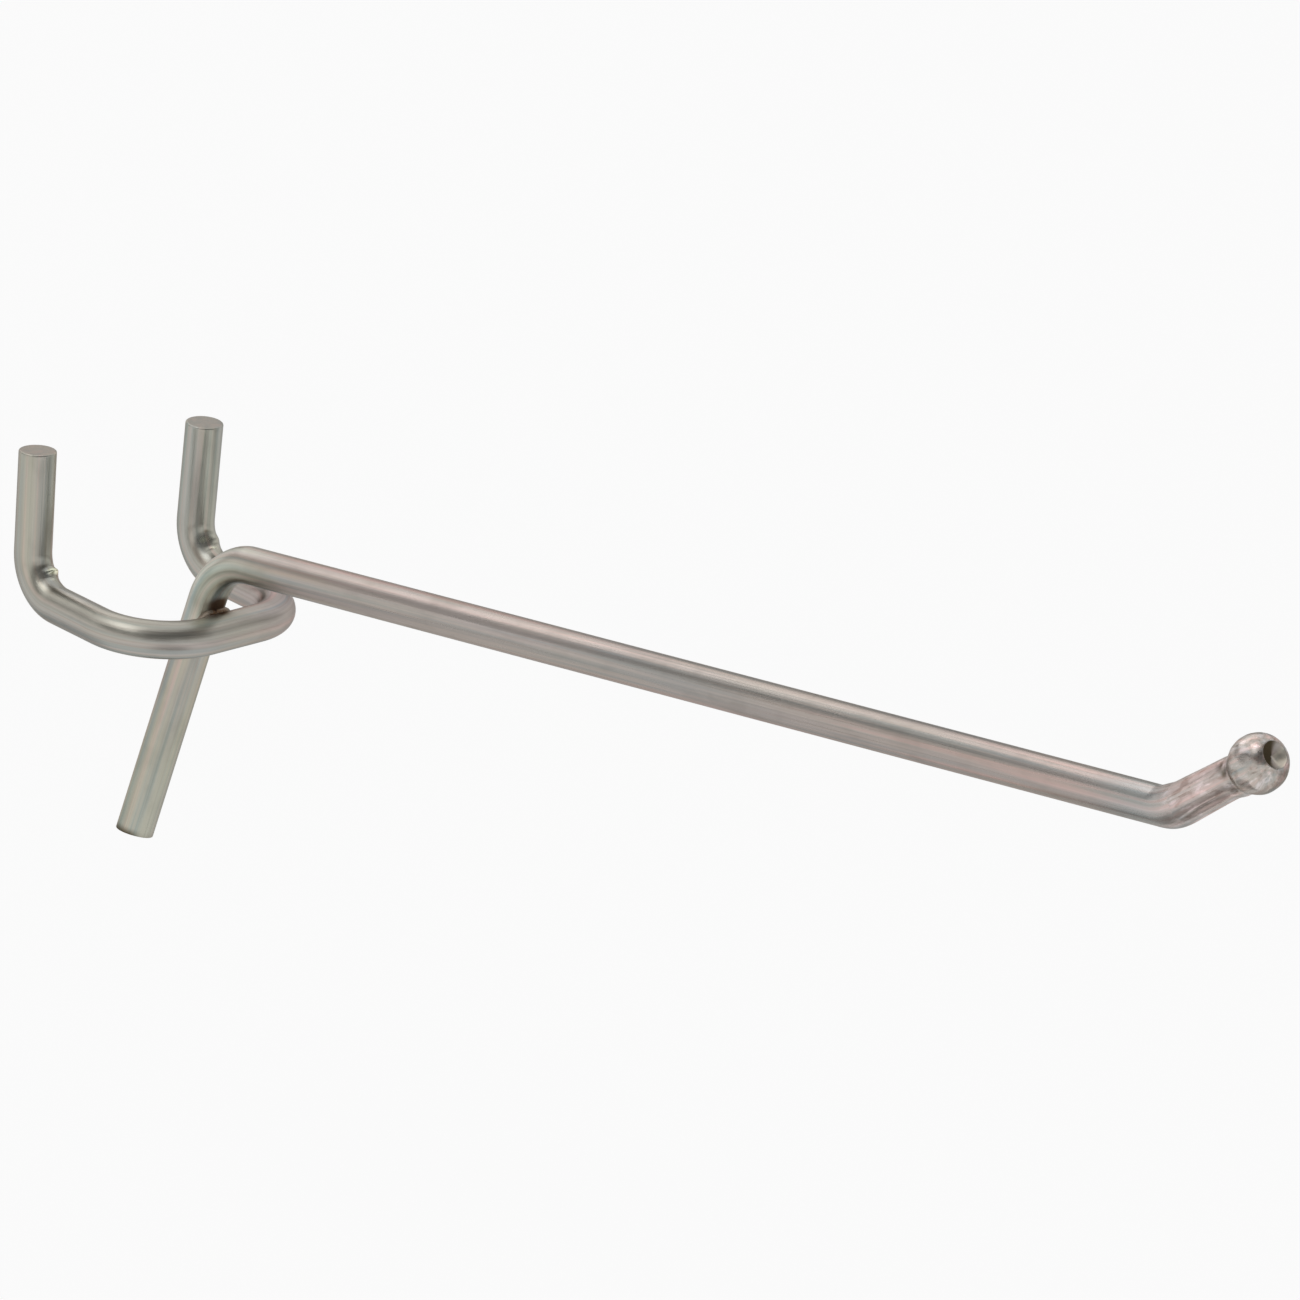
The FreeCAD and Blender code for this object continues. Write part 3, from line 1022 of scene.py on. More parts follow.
class WireSkin:
    """The skin round a middle line, from one end face to the other.

    Attributes:
        AROUND: Points on each ring.
        SCORCH_REACH: How far from the hot place the brown fades.
        FILM_REACH: How far from it the film that heat coloured fades.
        WORKED_FADE: The length over which the tools' marks set in.
        SHADE_LEVEL: How strong painted shade is halfway between the lit and the shaded side.
        SHADE_TURN: How much stronger the painted shade grows towards the shaded side.
        name: The object's name.
        line: The wire's middle line.
        radius: The wire's radius.
        hot: The middle of the place that the weld browned.
        rings: The skin's rings, in order.
        rules: What changes their radius.
        slants: Its ends that are cut out of square.
        shaded: The direction towards which painted shade grows strongest.
        worked_from: Distance along the wire from which tools have marked it.
        tints: The plating's tints, the first of which holds everywhere.
    """

    AROUND = 96
    SCORCH_REACH = 1.7
    FILM_REACH = 26.0
    WORKED_FADE = 4.0
    SHADE_LEVEL = 0.42
    SHADE_TURN = 1.2

    def __init__(self, name: str, line: MiddleLine, wire: float, hot: Point) -> None:
        """Start an empty skin.

        Args:
            name: The object's name.
            line: The wire's middle line.
            wire: The wire's diameter.
            hot: The middle of the place that the weld browned.
        """
        self.name = name
        self.line = line
        self.radius = wire / 2
        self.hot = np.array(hot)
        self.rings: list[Ring] = []
        self.rules: list[Rule] = []
        self.slants: list[Slant] = []
        self.shaded = np.array([0.0, 0.0, 1.0])
        self.worked_from = math.inf
        self.tints: list[Tint] = []

    def add_end(self, at_start: bool, edge: float, edge_shade: float = 0.0) -> None:
        """Close one end with a flat sheared face and a rolled edge.

        Args:
            at_start: Whether this is the line's first end.
            edge: How far the edge is rolled over.
            edge_shade: How much painted shade darkens the rolled edge.
        """
        end, sign = (0.0, 1.0) if at_start else (self.line.length, -1.0)
        flat = self.radius - edge
        rings = [Ring(end, flat * share, 1.0) for share in (0.04, 0.3, 0.55, 0.8, 0.95, 1.0)]
        for turn in np.linspace(0.0, math.pi / 2, 6)[1:]:
            inwards = edge * (1.0 - math.cos(turn))
            outwards = flat + edge * math.sin(turn)
            cut = 0.5 * (1.0 - turn / (math.pi / 2))
            rings.append(Ring(end + sign * inwards, outwards, cut, edge_shade))
        self.rings += rings if at_start else rings[::-1]

    def add_shaft(self, start: float, stop: float, coarse: float, fine: float) -> None:
        """Lay plain rings between two places.

        Args:
            start: Where the first may lie.
            stop: Where the last may lie.
            coarse: Spacing on straight runs.
            fine: Spacing in bends and at marks.
        """
        along = self.line.stations(coarse, fine)
        for rule in self.rules:
            if isinstance(rule, Mark):
                reach = 3.0 * rule.length
                near = np.arange(rule.along - reach, rule.along + reach, rule.length / 5)
                along = np.concatenate([along, near])
        along = np.unique(along[(along > start) & (along < stop)].round(4))
        keep = np.concatenate([[True], np.diff(along) > 0.02])
        self.rings += [Ring(float(value), self.radius) for value in along[keep]]

    def build(self) -> bpy.types.Object:
        """Make the mesh and what it carries for the finish.

        Returns:
            The new object.
        """
        along = self._of_rings("along")
        radius = self._of_rings("radius")[:, None]
        frames = self.line.frames(along)
        turn = np.linspace(0.0, 2 * np.pi, self.AROUND, endpoint=False)
        cosine, sine = np.cos(turn), np.sin(turn)
        around = cosine[None, :, None] * frames.normal[:, None]
        around = around + sine[None, :, None] * frames.side[:, None]
        reach = radius + self._changes(along, frames, around)
        points = frames.place[:, None] + reach[..., None] * around
        for slant in self.slants:
            shift = slant.shift(along, around) * reach
            points += shift[..., None] * frames.forward[:, None]
        lengthwise = np.tile(along[:, None], (1, self.AROUND))
        straight = np.stack([radius * cosine, radius * sine, lengthwise], axis=2)
        closed = self._closed(points.reshape(-1, 3))
        made = smooth_object(self.name, closed, ring_faces(len(along), self.AROUND))
        self._carry(made, Layer.STRAIGHT, self._closed(straight.reshape(-1, 3)) * MM)
        away = np.linalg.norm(points.reshape(-1, 3) - self.hot, axis=1)
        worked = np.clip((along - self.worked_from) / self.WORKED_FADE, 0.0, 1.0)
        layers = {
            Layer.CUT: np.repeat(self._of_rings("cut"), self.AROUND),
            Layer.SCORCH: np.exp(-((away / self.SCORCH_REACH) ** 2)),
            Layer.NEAR_WELD: np.exp(-((away / self.FILM_REACH) ** 2)),
            Layer.WORKED: np.repeat(worked, self.AROUND),
            Layer.RECESS: self._painted_shading(along, frames, around).reshape(-1),
        }
        for layer, values in layers.items():
            self._carry(made, layer, np.concatenate([values, values[:1], values[-1:]]))
        tint = self._tint(along)
        tints = np.repeat(tint, self.AROUND, axis=0)
        self._carry(made, Layer.TINT, np.vstack([tints, tint[[0, -1]]]))
        return made

    def _of_rings(self, name: str) -> np.ndarray:
        """Read one value of every ring."""
        return np.array([getattr(ring, name) for ring in self.rings])

    def _changes(self, along: np.ndarray, frames: Frames, around: np.ndarray) -> np.ndarray:
        """Add up the changes of radius, which leave the end faces alone.

        Args:
            along: The rings' distances along the wire.
            frames: The rings' stations.
            around: Directions from the middle line, per ring.

        Returns:
            The change for each ring and direction.
        """
        within = np.clip(self._of_rings("radius") / self.radius, 0.0, 1.0)
        full = (within * (self._of_rings("cut") < 1.0))[:, None]
        return sum(rule.change(along, frames, around) for rule in self.rules) * full

    def _painted_shading(self, along: np.ndarray, frames: Frames, around: np.ndarray) -> np.ndarray:
        """Add up the painted shade at each place, strongest on the shaded side.

        Args:
            along: The rings' distances along the wire.
            frames: The rings' stations.
            around: Directions from the middle line, per ring.

        Returns:
            The painted shade for each ring and direction, or the painted highlight where negative.
        """
        recess = sum(rule.recess(along, frames, around) for rule in self.rules)
        shade_and_highlight, lit = self._of_rings("shade_and_highlight")[:, None], self._of_rings("lit")[:, None]
        thick = self.SHADE_LEVEL + self.SHADE_TURN * (around @ self.shaded)
        return recess + shade_and_highlight * np.clip(thick, lit, 1.0)

    def _tint(self, along: np.ndarray) -> np.ndarray:
        """Work out the plating's tint, with an alpha of 1.

        Args:
            along: The rings' distances along the wire.

        Returns:
            A colour for each ring.
        """
        tint = np.full((len(along), 3), 1.0) * self.tints[0].colour
        for zone in self.tints[1:]:
            share = zone.share(along)[:, None]
            tint = tint * (1.0 - share) + share * np.array(zone.colour)
        return np.hstack([tint, np.ones((len(along), 1))])

    def _closed(self, points: np.ndarray) -> np.ndarray:
        """Add the middle point of the first and of the last ring.

        Args:
            points: Every ring's points in turn.

        Returns:
            The points with the two middles after them.
        """
        first, last = points[: self.AROUND].mean(0), points[-self.AROUND :].mean(0)
        return np.vstack([points, first, last])

    @staticmethod
    def _carry(made: bpy.types.Object, layer: Layer, values: np.ndarray) -> None:
        """Write one value per point on the mesh, for the finish to read.

        Args:
            made: The object.
            layer: The value's layer.
            values: A number, vector or colour for each point.
        """
        width = 1 if values.ndim == 1 else values.shape[1]
        kind, field = {
            1: ("FLOAT", "value"),
            3: ("FLOAT_VECTOR", "vector"),
            4: ("FLOAT_COLOR", "color"),
        }[width]
        carried = made.data.attributes.new(layer.value, kind, "POINT")
        carried.data.foreach_set(field, values.astype(np.float32).ravel())


@dataclass(frozen=True)
class Stock:
    """What both wires share.

    Attributes:
        wire: The wire's diameter.
        pitch: Distance between the board's holes.
        prong_y: The prongs' distance behind the board's front face.
        depth: From the prongs to the loop's front, at its middle.
        skew: How far the loop's front is out of square, in degrees.
        tilt: How far the leg's foot leans back towards the board, in degrees.
        setdown: How far the two wires sank into each other at the weld.
        edge: How far the cut ends' edges are rolled over.
        burn_offset: From the weld's middle to that of the place it browned.
    """

    wire: float = 4.75
    pitch: float = 25.4
    prong_y: float = 5.605
    depth: float = 22.45
    skew: float = 5.8
    tilt: float = 17.3
    setdown: float = 0.29
    edge: float = 0.25
    burn_offset: Point = (-0.2, -0.8, 2.3)

    @property
    def front(self) -> float:
        """The loop's front, along Y at its middle."""
        return self.prong_y - self.depth

    @property
    def gap(self) -> float:
        """Distance between the two middle lines at the crossing."""
        return self.wire - self.setdown

    @property
    def crossing(self) -> Point:
        """The middle of the weld."""
        tilt, half = math.radians(self.tilt), self.gap / 2
        return (0.0, self.front + half * math.cos(tilt), half * math.sin(tilt))

    @property
    def burn(self) -> Point:
        """The middle of the place that the weld browned."""
        return tuple(np.add(self.crossing, self.burn_offset))


@dataclass(frozen=True)
class BackWire:
    """The wire that makes the loop and both upturned prongs.

    Attributes:
        stock: What it shares with the arm's wire.
        corners: The loop's corner radii, left and right.
        bend: The radius from the loop up into a prong.
        rises: The prongs' heights, left and right.
        leans: How far each prong leans from the board, in degrees.
        pinch: Degrees round the prong's bend to its pinch mark.
        node: The solid that the piece stands for.
        slot: The record's material slot; not used.
    """

    stock: Stock
    corners: tuple[float, float] = (9.0, 7.7)
    bend: float = 5.75
    rises: tuple[float, float] = (18.4, 18.45)
    leans: tuple[float, float] = (2.2, -1.2)
    pinch: float = 54.0
    node: str = "back_wire"
    slot: str = "back_wire"

    def _top(self, side: Side) -> Point:
        """Find the middle of a prong's top.

        Args:
            side: The prong.

        Returns:
            The point.
        """
        index = 0 if side is Side.LEFT else 1
        rise = self.rises[index]
        lean = math.tan(math.radians(self.leans[index]))
        return (side.value * self.stock.pitch / 2, self.stock.prong_y + rise * lean, rise)

    def build(self) -> bpy.types.Object:
        """Lay the skin round the wire.

        Returns:
            The new object.
        """
        stock = self.stock
        half = stock.pitch / 2
        skewed = half * math.tan(math.radians(stock.skew))
        corners = [
            self._top(Side.LEFT),
            (-half, stock.prong_y, 0.0),
            (-half, stock.front - skewed, 0.0),
            (half, stock.front + skewed, 0.0),
            (half, stock.prong_y, 0.0),
            self._top(Side.RIGHT),
        ]
        line = MiddleLine(corners, (self.bend, *self.corners, self.bend), (1.0, 0.0, 0.0))
        skin = WireSkin("loop_and_prongs", line, stock.wire, stock.burn)
        skin.rules += self._marks(line)
        first, left, right, last = (bend.start for bend in line.bends)
        skin.tints += [
            Tint(0.0, 1.0, (1.090, 1.045, 0.935)),
            Tint((first + left) / 2 + 6.0, 9.0, (1.050, 1.010, 0.940)),
            Tint((left + right) / 2 - 1.0, 6.0, (1.060, 1.020, 0.960)),
            Tint(right + 7.0, 10.0, (1.120, 0.985, 0.980)),
            Tint(last + 16.0, 15.0, (1.020, 1.035, 0.950)),
        ]
        gap = stock.edge + END_GAP
        skin.add_end(at_start=True, edge=stock.edge)
        skin.add_shaft(gap, line.length - gap, coarse=0.8, fine=0.25)
        skin.add_end(at_start=False, edge=stock.edge)
        return skin.build()

    def _marks(self, line: MiddleLine) -> list[Rule]:
        """Place the pinch marks inside the prongs' bends.

        Args:
            line: The wire's middle line.

        Returns:
            The lumps and creases, with painted shade and painted highlights round them.
        """
        left, right = self.leans
        rules: list[Rule] = []
        for side, bend, lean in (
            (Side.LEFT, line.bends[0], left),
            (Side.RIGHT, line.bends[-1], right),
        ):
            share = self.pinch / (90.0 - lean)
            share = 1.0 - share if side is Side.LEFT else share
            for dab in self._pinch(side):
                along = bend.start + bend.length * share + side.value * dab.rise
                inward = line.frames(np.array([along])).inward[0]
                facing = (inward[0] + dab.turn, inward[1], inward[2])
                rules.append(Mark(along, facing, dab.height, dab.length, dab.width, dab.shade_and_highlight))
        return rules

    @staticmethod
    def _pinch(side: Side) -> list[Dab]:
        """List the parts of one prong's pinch mark.

        Args:
            side: The prong.

        Returns:
            Its lump, the painted shade and painted highlights round it, and its small creases.
        """
        # A Dab's last number paints shade where positive and a highlight where negative; the Dabs
        # with no height are only painted light.
        if side is Side.LEFT:
            return [
                Dab(-0.40, 0.42, 0.60, 0.85, 1.20, -0.55),
                Dab(-0.45, 0.25, 0.0, 0.60, 0.90, -1.0),
                Dab(0.95, -0.15, -0.03, 0.80, 0.80, 0.50),
                Dab(-1.30, -0.35, 0.0, 1.20, 0.70, 0.22),
                Dab(-1.55, 0.15, -0.04, 0.24, 0.80, 0.45),
                Dab(-2.30, 0.05, 0.05, 0.50, 0.70, -0.40),
            ]
        return [
            Dab(0.0, 0.45, 0.36, 1.20, 1.20, 0.0),
            Dab(0.30, -0.35, 0.0, 0.80, 0.80, -0.65),
            Dab(2.00, -0.10, -0.03, 0.50, 0.60, 0.62),
            Dab(-1.60, -0.55, 0.0, 1.00, 0.80, 0.35),
            Dab(-1.0, 0.35, -0.04, 0.30, 0.70, 0.40),
            Dab(-1.90, -0.05, 0.05, 0.40, 0.80, -0.55),
        ]

    def dress(self, piece: bpy.types.Object) -> None:
        """Give the wire its plating."""
        finish = ZincFinish("plated_loop", seed=5.0, film=0.30, weld_film=0.22)
        piece.data.materials.append(finish.material())


@dataclass(frozen=True)
class ArmWire:
    """The wire that makes the leg, knee, arm, upturned tip and ball.

    Attributes:
        stock: What it shares with the loop's wire.
        knee_rise: Height of the knee's corner over the loop's middle line.
        knee_radius: The bend from the leg into the arm.
        length: From the knee's corner to the tip's.
        rise: How far the arm rises, in degrees.
        tip_turn: How far the tip turns up from the arm, in degrees.
        tip_length: From the tip's corner to the ball's middle.
        tip_radius: The bend from the arm into the tip.
        stem: The wire's diameter beyond the tip's bend.
        ball: The ball's diameter.
        neck: The neck's diameter where it meets the ball.
        throat: The radius of the corner between neck and ball.
        dimple: The header's mark, across and deep.
        foot_slope: Degrees by which the foot's cut is out of square, front to back.
        foot_skew: Degrees by which it is out of square, side to side.
        foot_edge: How far the foot's edge is rolled over.
        foot_trim: How much of that edge is kept clear of the board.
        knee_formed: The section's growth halfway round the knee, in it and square to it.
        tip_formed: The same at the tip's bend.
        node: The solid that the piece stands for.
        slot: The record's material slot; not used.
    """

    stock: Stock
    knee_rise: float = 9.1
    knee_radius: float = 9.9
    length: float = 173.0
    rise: float = 8.2
    tip_turn: float = 28.9
    tip_length: float = 16.3
    tip_radius: float = 10.0
    stem: float = 5.22
    ball: float = 7.18
    neck: float = 4.9
    throat: float = 3.0
    dimple: tuple[float, float] = (3.4, 0.7)
    foot_slope: float = 17.0
    foot_skew: float = 14.7
    foot_edge: float = 0.2
    foot_trim: float = 0.04
    knee_formed: tuple[float, float] = (-0.25, 0.10)
    tip_formed: tuple[float, float] = (0.25, 0.10)
    node: str = "arm_wire"
    slot: str = "arm_wire"

    @property
    def neck_length(self) -> float:
        """Distance from the tip's bend to the ball's middle."""
        return self.tip_length - self.tip_radius * math.tan(math.radians(self.tip_turn) / 2)

    def _corners(self) -> list[Point]:
        """Find the middle line's corners.

        Returns:
            The foot, the knee's corner, the tip's corner and a point past the ball.
        """
        stock = self.stock
        tilt, rise = math.radians(stock.tilt), math.radians(self.rise)
        turned = rise + math.radians(self.tip_turn)
        leg_y = stock.front + stock.gap / math.cos(tilt)
        sloped = math.cos(tilt) + math.tan(math.radians(self.foot_slope)) * math.sin(tilt)
        skewed = math.tan(math.radians(self.foot_skew)) * math.sin(tilt)
        foot_y = (self.foot_edge - self.foot_trim) * math.sin(tilt)
        foot_y -= stock.wire / 2 * math.hypot(sloped, skewed)
        foot_z = (leg_y - foot_y) / math.tan(tilt)
        knee = np.array([0.0, leg_y - self.knee_rise * math.tan(tilt), self.knee_rise])
        tip = knee + self.length * np.array([0.0, -math.cos(rise), math.sin(rise)])
        reach = self.tip_length + self.ball
        end = tip + reach * np.array([0.0, -math.cos(turned), math.sin(turned)])
        return [(0.0, foot_y, foot_z), tuple(knee), tuple(tip), tuple(end)]

    def build(self) -> bpy.types.Object:
        """Lay the skin round the wire, and head its end.

        Returns:
            The new object.
        """
        stock = self.stock
        line = MiddleLine(self._corners(), (self.knee_radius, self.tip_radius), (1.0, 0.0, 0.0))
        skin = WireSkin("leg_arm_and_ball", line, stock.wire, stock.burn)
        knee, tip = line.bends
        middle = line.length - self.ball
        gained = (self.stem - stock.wire) / 2
        skin.rules.append(FormedBend(knee, *self.knee_formed))
        skin.rules.append(FormedBend(tip, *self.tip_formed, gained))
        skin.rules += self._marks(line, middle)
        # Painted shade lies on this side of the marks, the header's pit and the foot's edge; a
        # painted highlight takes the other side of the pit.
        skin.shaded = np.array([-0.87, 0.40, 0.28])
        skin.worked_from = middle - 17.0
        tilt = math.radians(stock.tilt)
        slope = math.tan(math.radians(self.foot_slope))
        skew = math.tan(math.radians(self.foot_skew))
        lean = (-skew, -slope * math.cos(tilt), -slope * math.sin(tilt))
        skin.slants.append(Slant(0.0, lean))
        skin.tints += [
            Tint(0.0, 1.0, (1.105, 0.980, 0.915)),
            Tint(-2.0, knee.start * 0.8, (1.125, 1.120, 0.965)),
            Tint(knee.start + knee.length * 1.1, 6.0, (1.110, 1.050, 0.990)),
            # Painted highlight: the knee's colour is made much brighter here, standing in for the
            # bright reflection on its inside.
            Tint(knee.start + knee.length * 0.3, 6.5, (1.580, 1.660, 1.600)),
            Tint(middle - 62.0, 48.0, (1.010, 0.895, 0.835)),
            Tint(middle - 18.0, 8.0, (0.890, 0.940, 0.930)),
            Tint(middle - 8.5, 7.5, (1.540, 1.310, 1.250)),
            Tint(middle, 3.0, (1.240, 1.150, 1.070)),
        ]
        # Painted shade: a dark line along the foot's rolled edge.
        skin.add_end(at_start=True, edge=self.foot_edge, edge_shade=0.8)
        start, stop = self.foot_edge + END_GAP, middle - self.neck_length - END_GAP
        skin.add_shaft(start, stop, coarse=1.6, fine=0.25)
        skin.rings += self._head(middle)
        return skin.build()

    def _marks(self, line: MiddleLine, middle: float) -> list[Rule]:
        """Place the marks that shear, bending and heading tools left.

        Args:
            line: The wire's middle line.
            middle: Distance along the wire to the ball's middle.

        Returns:
            The grooves, bumps, dents and flats.
        """
        forward = line.frames(np.array([middle])).forward[0]
        right = np.array([1.0, 0.0, 0.0])
        above = np.cross(forward, right)
        above *= math.copysign(1.0, above[2])
        axes = np.stack([above, right, forward])
        ball = self.ball / 2
        return [
            # Painted shade darkens the bottoms of the flutes and of the two small dents beside the
            # neck.
            Flutes(middle - 16.0, middle - 2.0, 0.34, 8),
            Hammering(middle - 3.4, middle + 3.0, 0.11),
            Mark(middle - 3.4, tuple((-1.0, -0.2, 0.0) @ axes), 0.30, 1.1, 2.6),
            Mark(middle - 3.6, tuple((1.0, -0.3, 0.0) @ axes), -0.14, 0.8, 1.6),
            Mark(middle - 4.1, tuple((0.75, -0.9, 0.0) @ axes), -0.16, 0.45, 0.75, 0.7),
            Mark(middle - 3.5, tuple((0.15, -1.0, 0.0) @ axes), -0.18, 0.5, 0.7, 0.7),
            Flat(middle, tuple((-0.65, -0.53, 0.55) @ axes), ball - 0.38, ball),
            Mark(middle + 1.5, tuple((0.31, -0.95, 0.0) @ axes), -0.20, 1.1, 1.9),
        ]

    def _head(self, middle: float) -> list[Ring]:
        """Give the rings of the swelling neck, the ball and the header's mark.

        Args:
            middle: Distance along the wire to the ball's middle.

        Returns:
            The rings, from the neck to the mark's bottom.
        """
        stem, ball, neck = self.stem / 2, self.ball / 2, self.neck / 2
        mark, depth = self.dimple[0] / 2, self.dimple[1]
        rings = [Ring(middle - self.neck_length + 0.02, stem)]
        slope = (neck - stem) / (self.neck_length - math.sqrt(ball**2 - neck**2))
        throat = self._throat(slope)
        for along in np.linspace(-self.neck_length, throat[0][0], 36)[1:-1]:
            rings.append(Ring(middle + along, stem + slope * (along + self.neck_length)))
        rings += [Ring(middle + along, radius) for along, radius in throat]
        first = math.atan2(throat[-1][1], throat[-1][0])
        last = math.asin(mark / ball)
        for turn in np.linspace(first, last, 44)[1:]:
            rings.append(Ring(middle + ball * math.cos(turn), ball * math.sin(turn)))
        bow = (depth**2 + mark**2) / (2 * depth)
        pit = ball * math.cos(last) - depth + bow
        # Painted shade darkens the pit on the shaded side, and a painted highlight brightens it on
        # the lit side.
        for share in (0.98, 0.94, 0.88, 0.8, 0.7, 0.6, 0.5, 0.4, 0.25, 0.1):
            along = pit - math.sqrt(bow**2 - (mark * share) ** 2)
            rings.append(Ring(middle + along, mark * share, cut=1.0, shade_and_highlight=1.1, lit=-0.42))
        return rings

    def _throat(self, slope: float) -> list[tuple[float, float]]:
        """Round the corner between the swelling neck and the ball.

        Halving finds the middle from which the round touches both.

        Args:
            slope: The neck's growth of radius per length.

        Returns:
            Points of the round, as distance from the ball's middle and radius.
        """
        ball, stem, radius = self.ball / 2, self.stem / 2, self.throat
        lean = math.atan(slope)
        reach = ball + radius
        low, high = -reach, 0.0
        for _ in range(60):
            along = (low + high) / 2
            height = math.sqrt(reach**2 - along**2)
            clear = (height - stem - slope * (along + self.neck_length)) * math.cos(lean)
            low, high = (along, high) if clear < radius else (low, along)
        along, height = low, math.sqrt(reach**2 - low**2)
        first = -math.pi / 2 + lean
        last = math.atan2(-height, -along)
        return [
            (along + radius * math.cos(turn), height + radius * math.sin(turn))
            for turn in np.linspace(first, last, 14)
        ]

    def dress(self, piece: bpy.types.Object) -> None:
        """Give the wire its plating."""
        finish = ZincFinish("plated_arm", seed=17.0, film=0.12, weld_film=0.45)
        piece.data.materials.append(finish.material())


@dataclass(frozen=True)
class WeldBead:
    """The small lump of weld metal between the two wires.

    Attributes:
        stock: What says where the wires cross.
        reach: Its half width along the loop.
        height: Its half height along the leg.
        thickness: Its half depth from wire to wire.
        rows: Rows of its mesh, from pole to pole.
        columns: Points in each row.
        node: The solid that the piece stands for.
        slot: The record's material slot; not used.
    """

    stock: Stock
    reach: float = 3.0
    height: float = 2.1
    thickness: float = 1.1
    rows: int = 28
    columns: int = 56
    node: str = "weld_bead"
    slot: str = "weld"

    def build(self) -> bpy.types.Object:
        """Make the lump, uneven as frozen metal is.

        Returns:
            The new object.
        """
        down = np.linspace(0.0, np.pi, self.rows)[1:-1]
        turn = np.linspace(0.0, 2 * np.pi, self.columns, endpoint=False)
        lat, lon = np.meshgrid(down, turn, indexing="ij")
        way = np.stack([np.sin(lat) * np.cos(lon), np.cos(lat), np.sin(lat) * np.sin(lon)], axis=2)
        way = np.vstack([way.reshape(-1, 3), [[0.0, 1.0, 0.0], [0.0, -1.0, 0.0]]])
        lumps = np.sin(7.0 * way[:, 0] + 1.3) * np.sin(6.0 * way[:, 2] + 0.4)
        swell = 0.95 + 0.05 * lumps * (1.0 - way[:, 1] ** 2)
        sizes = np.array([self.reach, self.thickness, self.height])
        points = way * swell[:, None] * sizes
        tilt = math.radians(self.stock.tilt)
        cosine, sine = math.cos(tilt), math.sin(tilt)
        spin = np.array([[1.0, 0.0, 0.0], [0.0, cosine, -sine], [0.0, sine, cosine]])
        points = points @ spin.T + np.array(self.stock.crossing)
        return smooth_object("weld_lump", points, ring_faces(len(down), self.columns, turned=True))

    def dress(self, piece: bpy.types.Object) -> None:
        """Give the weld its brown metal."""
        piece.data.materials.append(WeldFinish().material())


@dataclass(frozen=True)
class Stand:
    """A place round the object, as a direction and a distance.

    Attributes:
        azimuth: Degrees from the board's side towards the right.
        elevation: Degrees above the horizon.
        distance: Metres from the object.
    """

    azimuth: float
    elevation: float
    distance: float

    def place(self, aim: Point) -> Vector:
        """Work out the place.

        Args:
            aim: The point that directions are taken from, in metres.

        Returns:
            The place, in metres.
        """
        turn, rise = math.radians(self.azimuth), math.radians(self.elevation)
        level = self.distance * math.cos(rise)
        reach = (level * math.sin(turn), level * math.cos(turn), self.distance * math.sin(rise))
        return Vector(aim) + Vector(reach)


@dataclass(frozen=True)
class Softbox:
    """One square lamp of the studio.

    Attributes:
        name: The lamp's name.
        stand: Where it hangs.
        size: Its width and height, in metres.
        level: How bright its face is, where 1 is white.
        colour: Its light's colour.
    """

    name: str
    stand: Stand
    size: tuple[float, float]
    level: float
    colour: Colour = (1.0, 1.0, 1.0)

    def hang(self, aim: Point) -> None:
        """Hang the lamp and turn it to the object.

        Args:
            aim: The point that it lights, in metres.
        """
        lamp = bpy.data.lights.new(self.name, "AREA")
        lamp.shape = "RECTANGLE"
        lamp.size, lamp.size_y = self.size
        lamp.energy = self.level * math.pi * self.size[0] * self.size[1]
        lamp.color = self.colour
        made = bpy.data.objects.new(self.name, lamp)
        made.location = self.stand.place(aim)
        towards = Vector(aim) - made.location
        made.rotation_euler = towards.to_track_quat("-Z", "Y").to_euler()
        bpy.context.scene.collection.objects.link(made)


@dataclass(frozen=True)
class Card:
    """A plain panel beside the object that only its reflections show.

    Attributes:
        name: The panel's name.
        place: Its middle, in metres.
        size: Its width and height, in metres.
        shade: Its grey.
        lying: Whether it lies on the floor instead of facing the object.
    """

    name: str
    place: Stand | Point
    size: tuple[float, float]
    shade: float
    lying: bool = False

    def stand(self, aim: Point) -> None:
        """Stand the panel up, facing the object, or lay it down.

        Args:
            aim: The point that it faces, in metres.
        """
        made = level_panel(self.name, *self.size)
        hung = isinstance(self.place, Stand)
        made.location = self.place.place(aim) if hung else self.place
        if not self.lying:
            towards = Vector(aim) - made.location
            made.rotation_euler = towards.to_track_quat("Z", "Y").to_euler()
        material = bpy.data.materials.new(self.name)
        tree = FinishTree(material)
        grey = (self.shade, self.shade, self.shade)
        glow = tree.make("ShaderNodeEmission", {}, {"Color": grey, "Strength": 1.0})
        tree.make("ShaderNodeOutputMaterial", {}, {"Surface": glow.outputs[0]})
        made.data.materials.append(material)
        made.visible_camera = False
        made.visible_diffuse = False
        made.visible_shadow = False


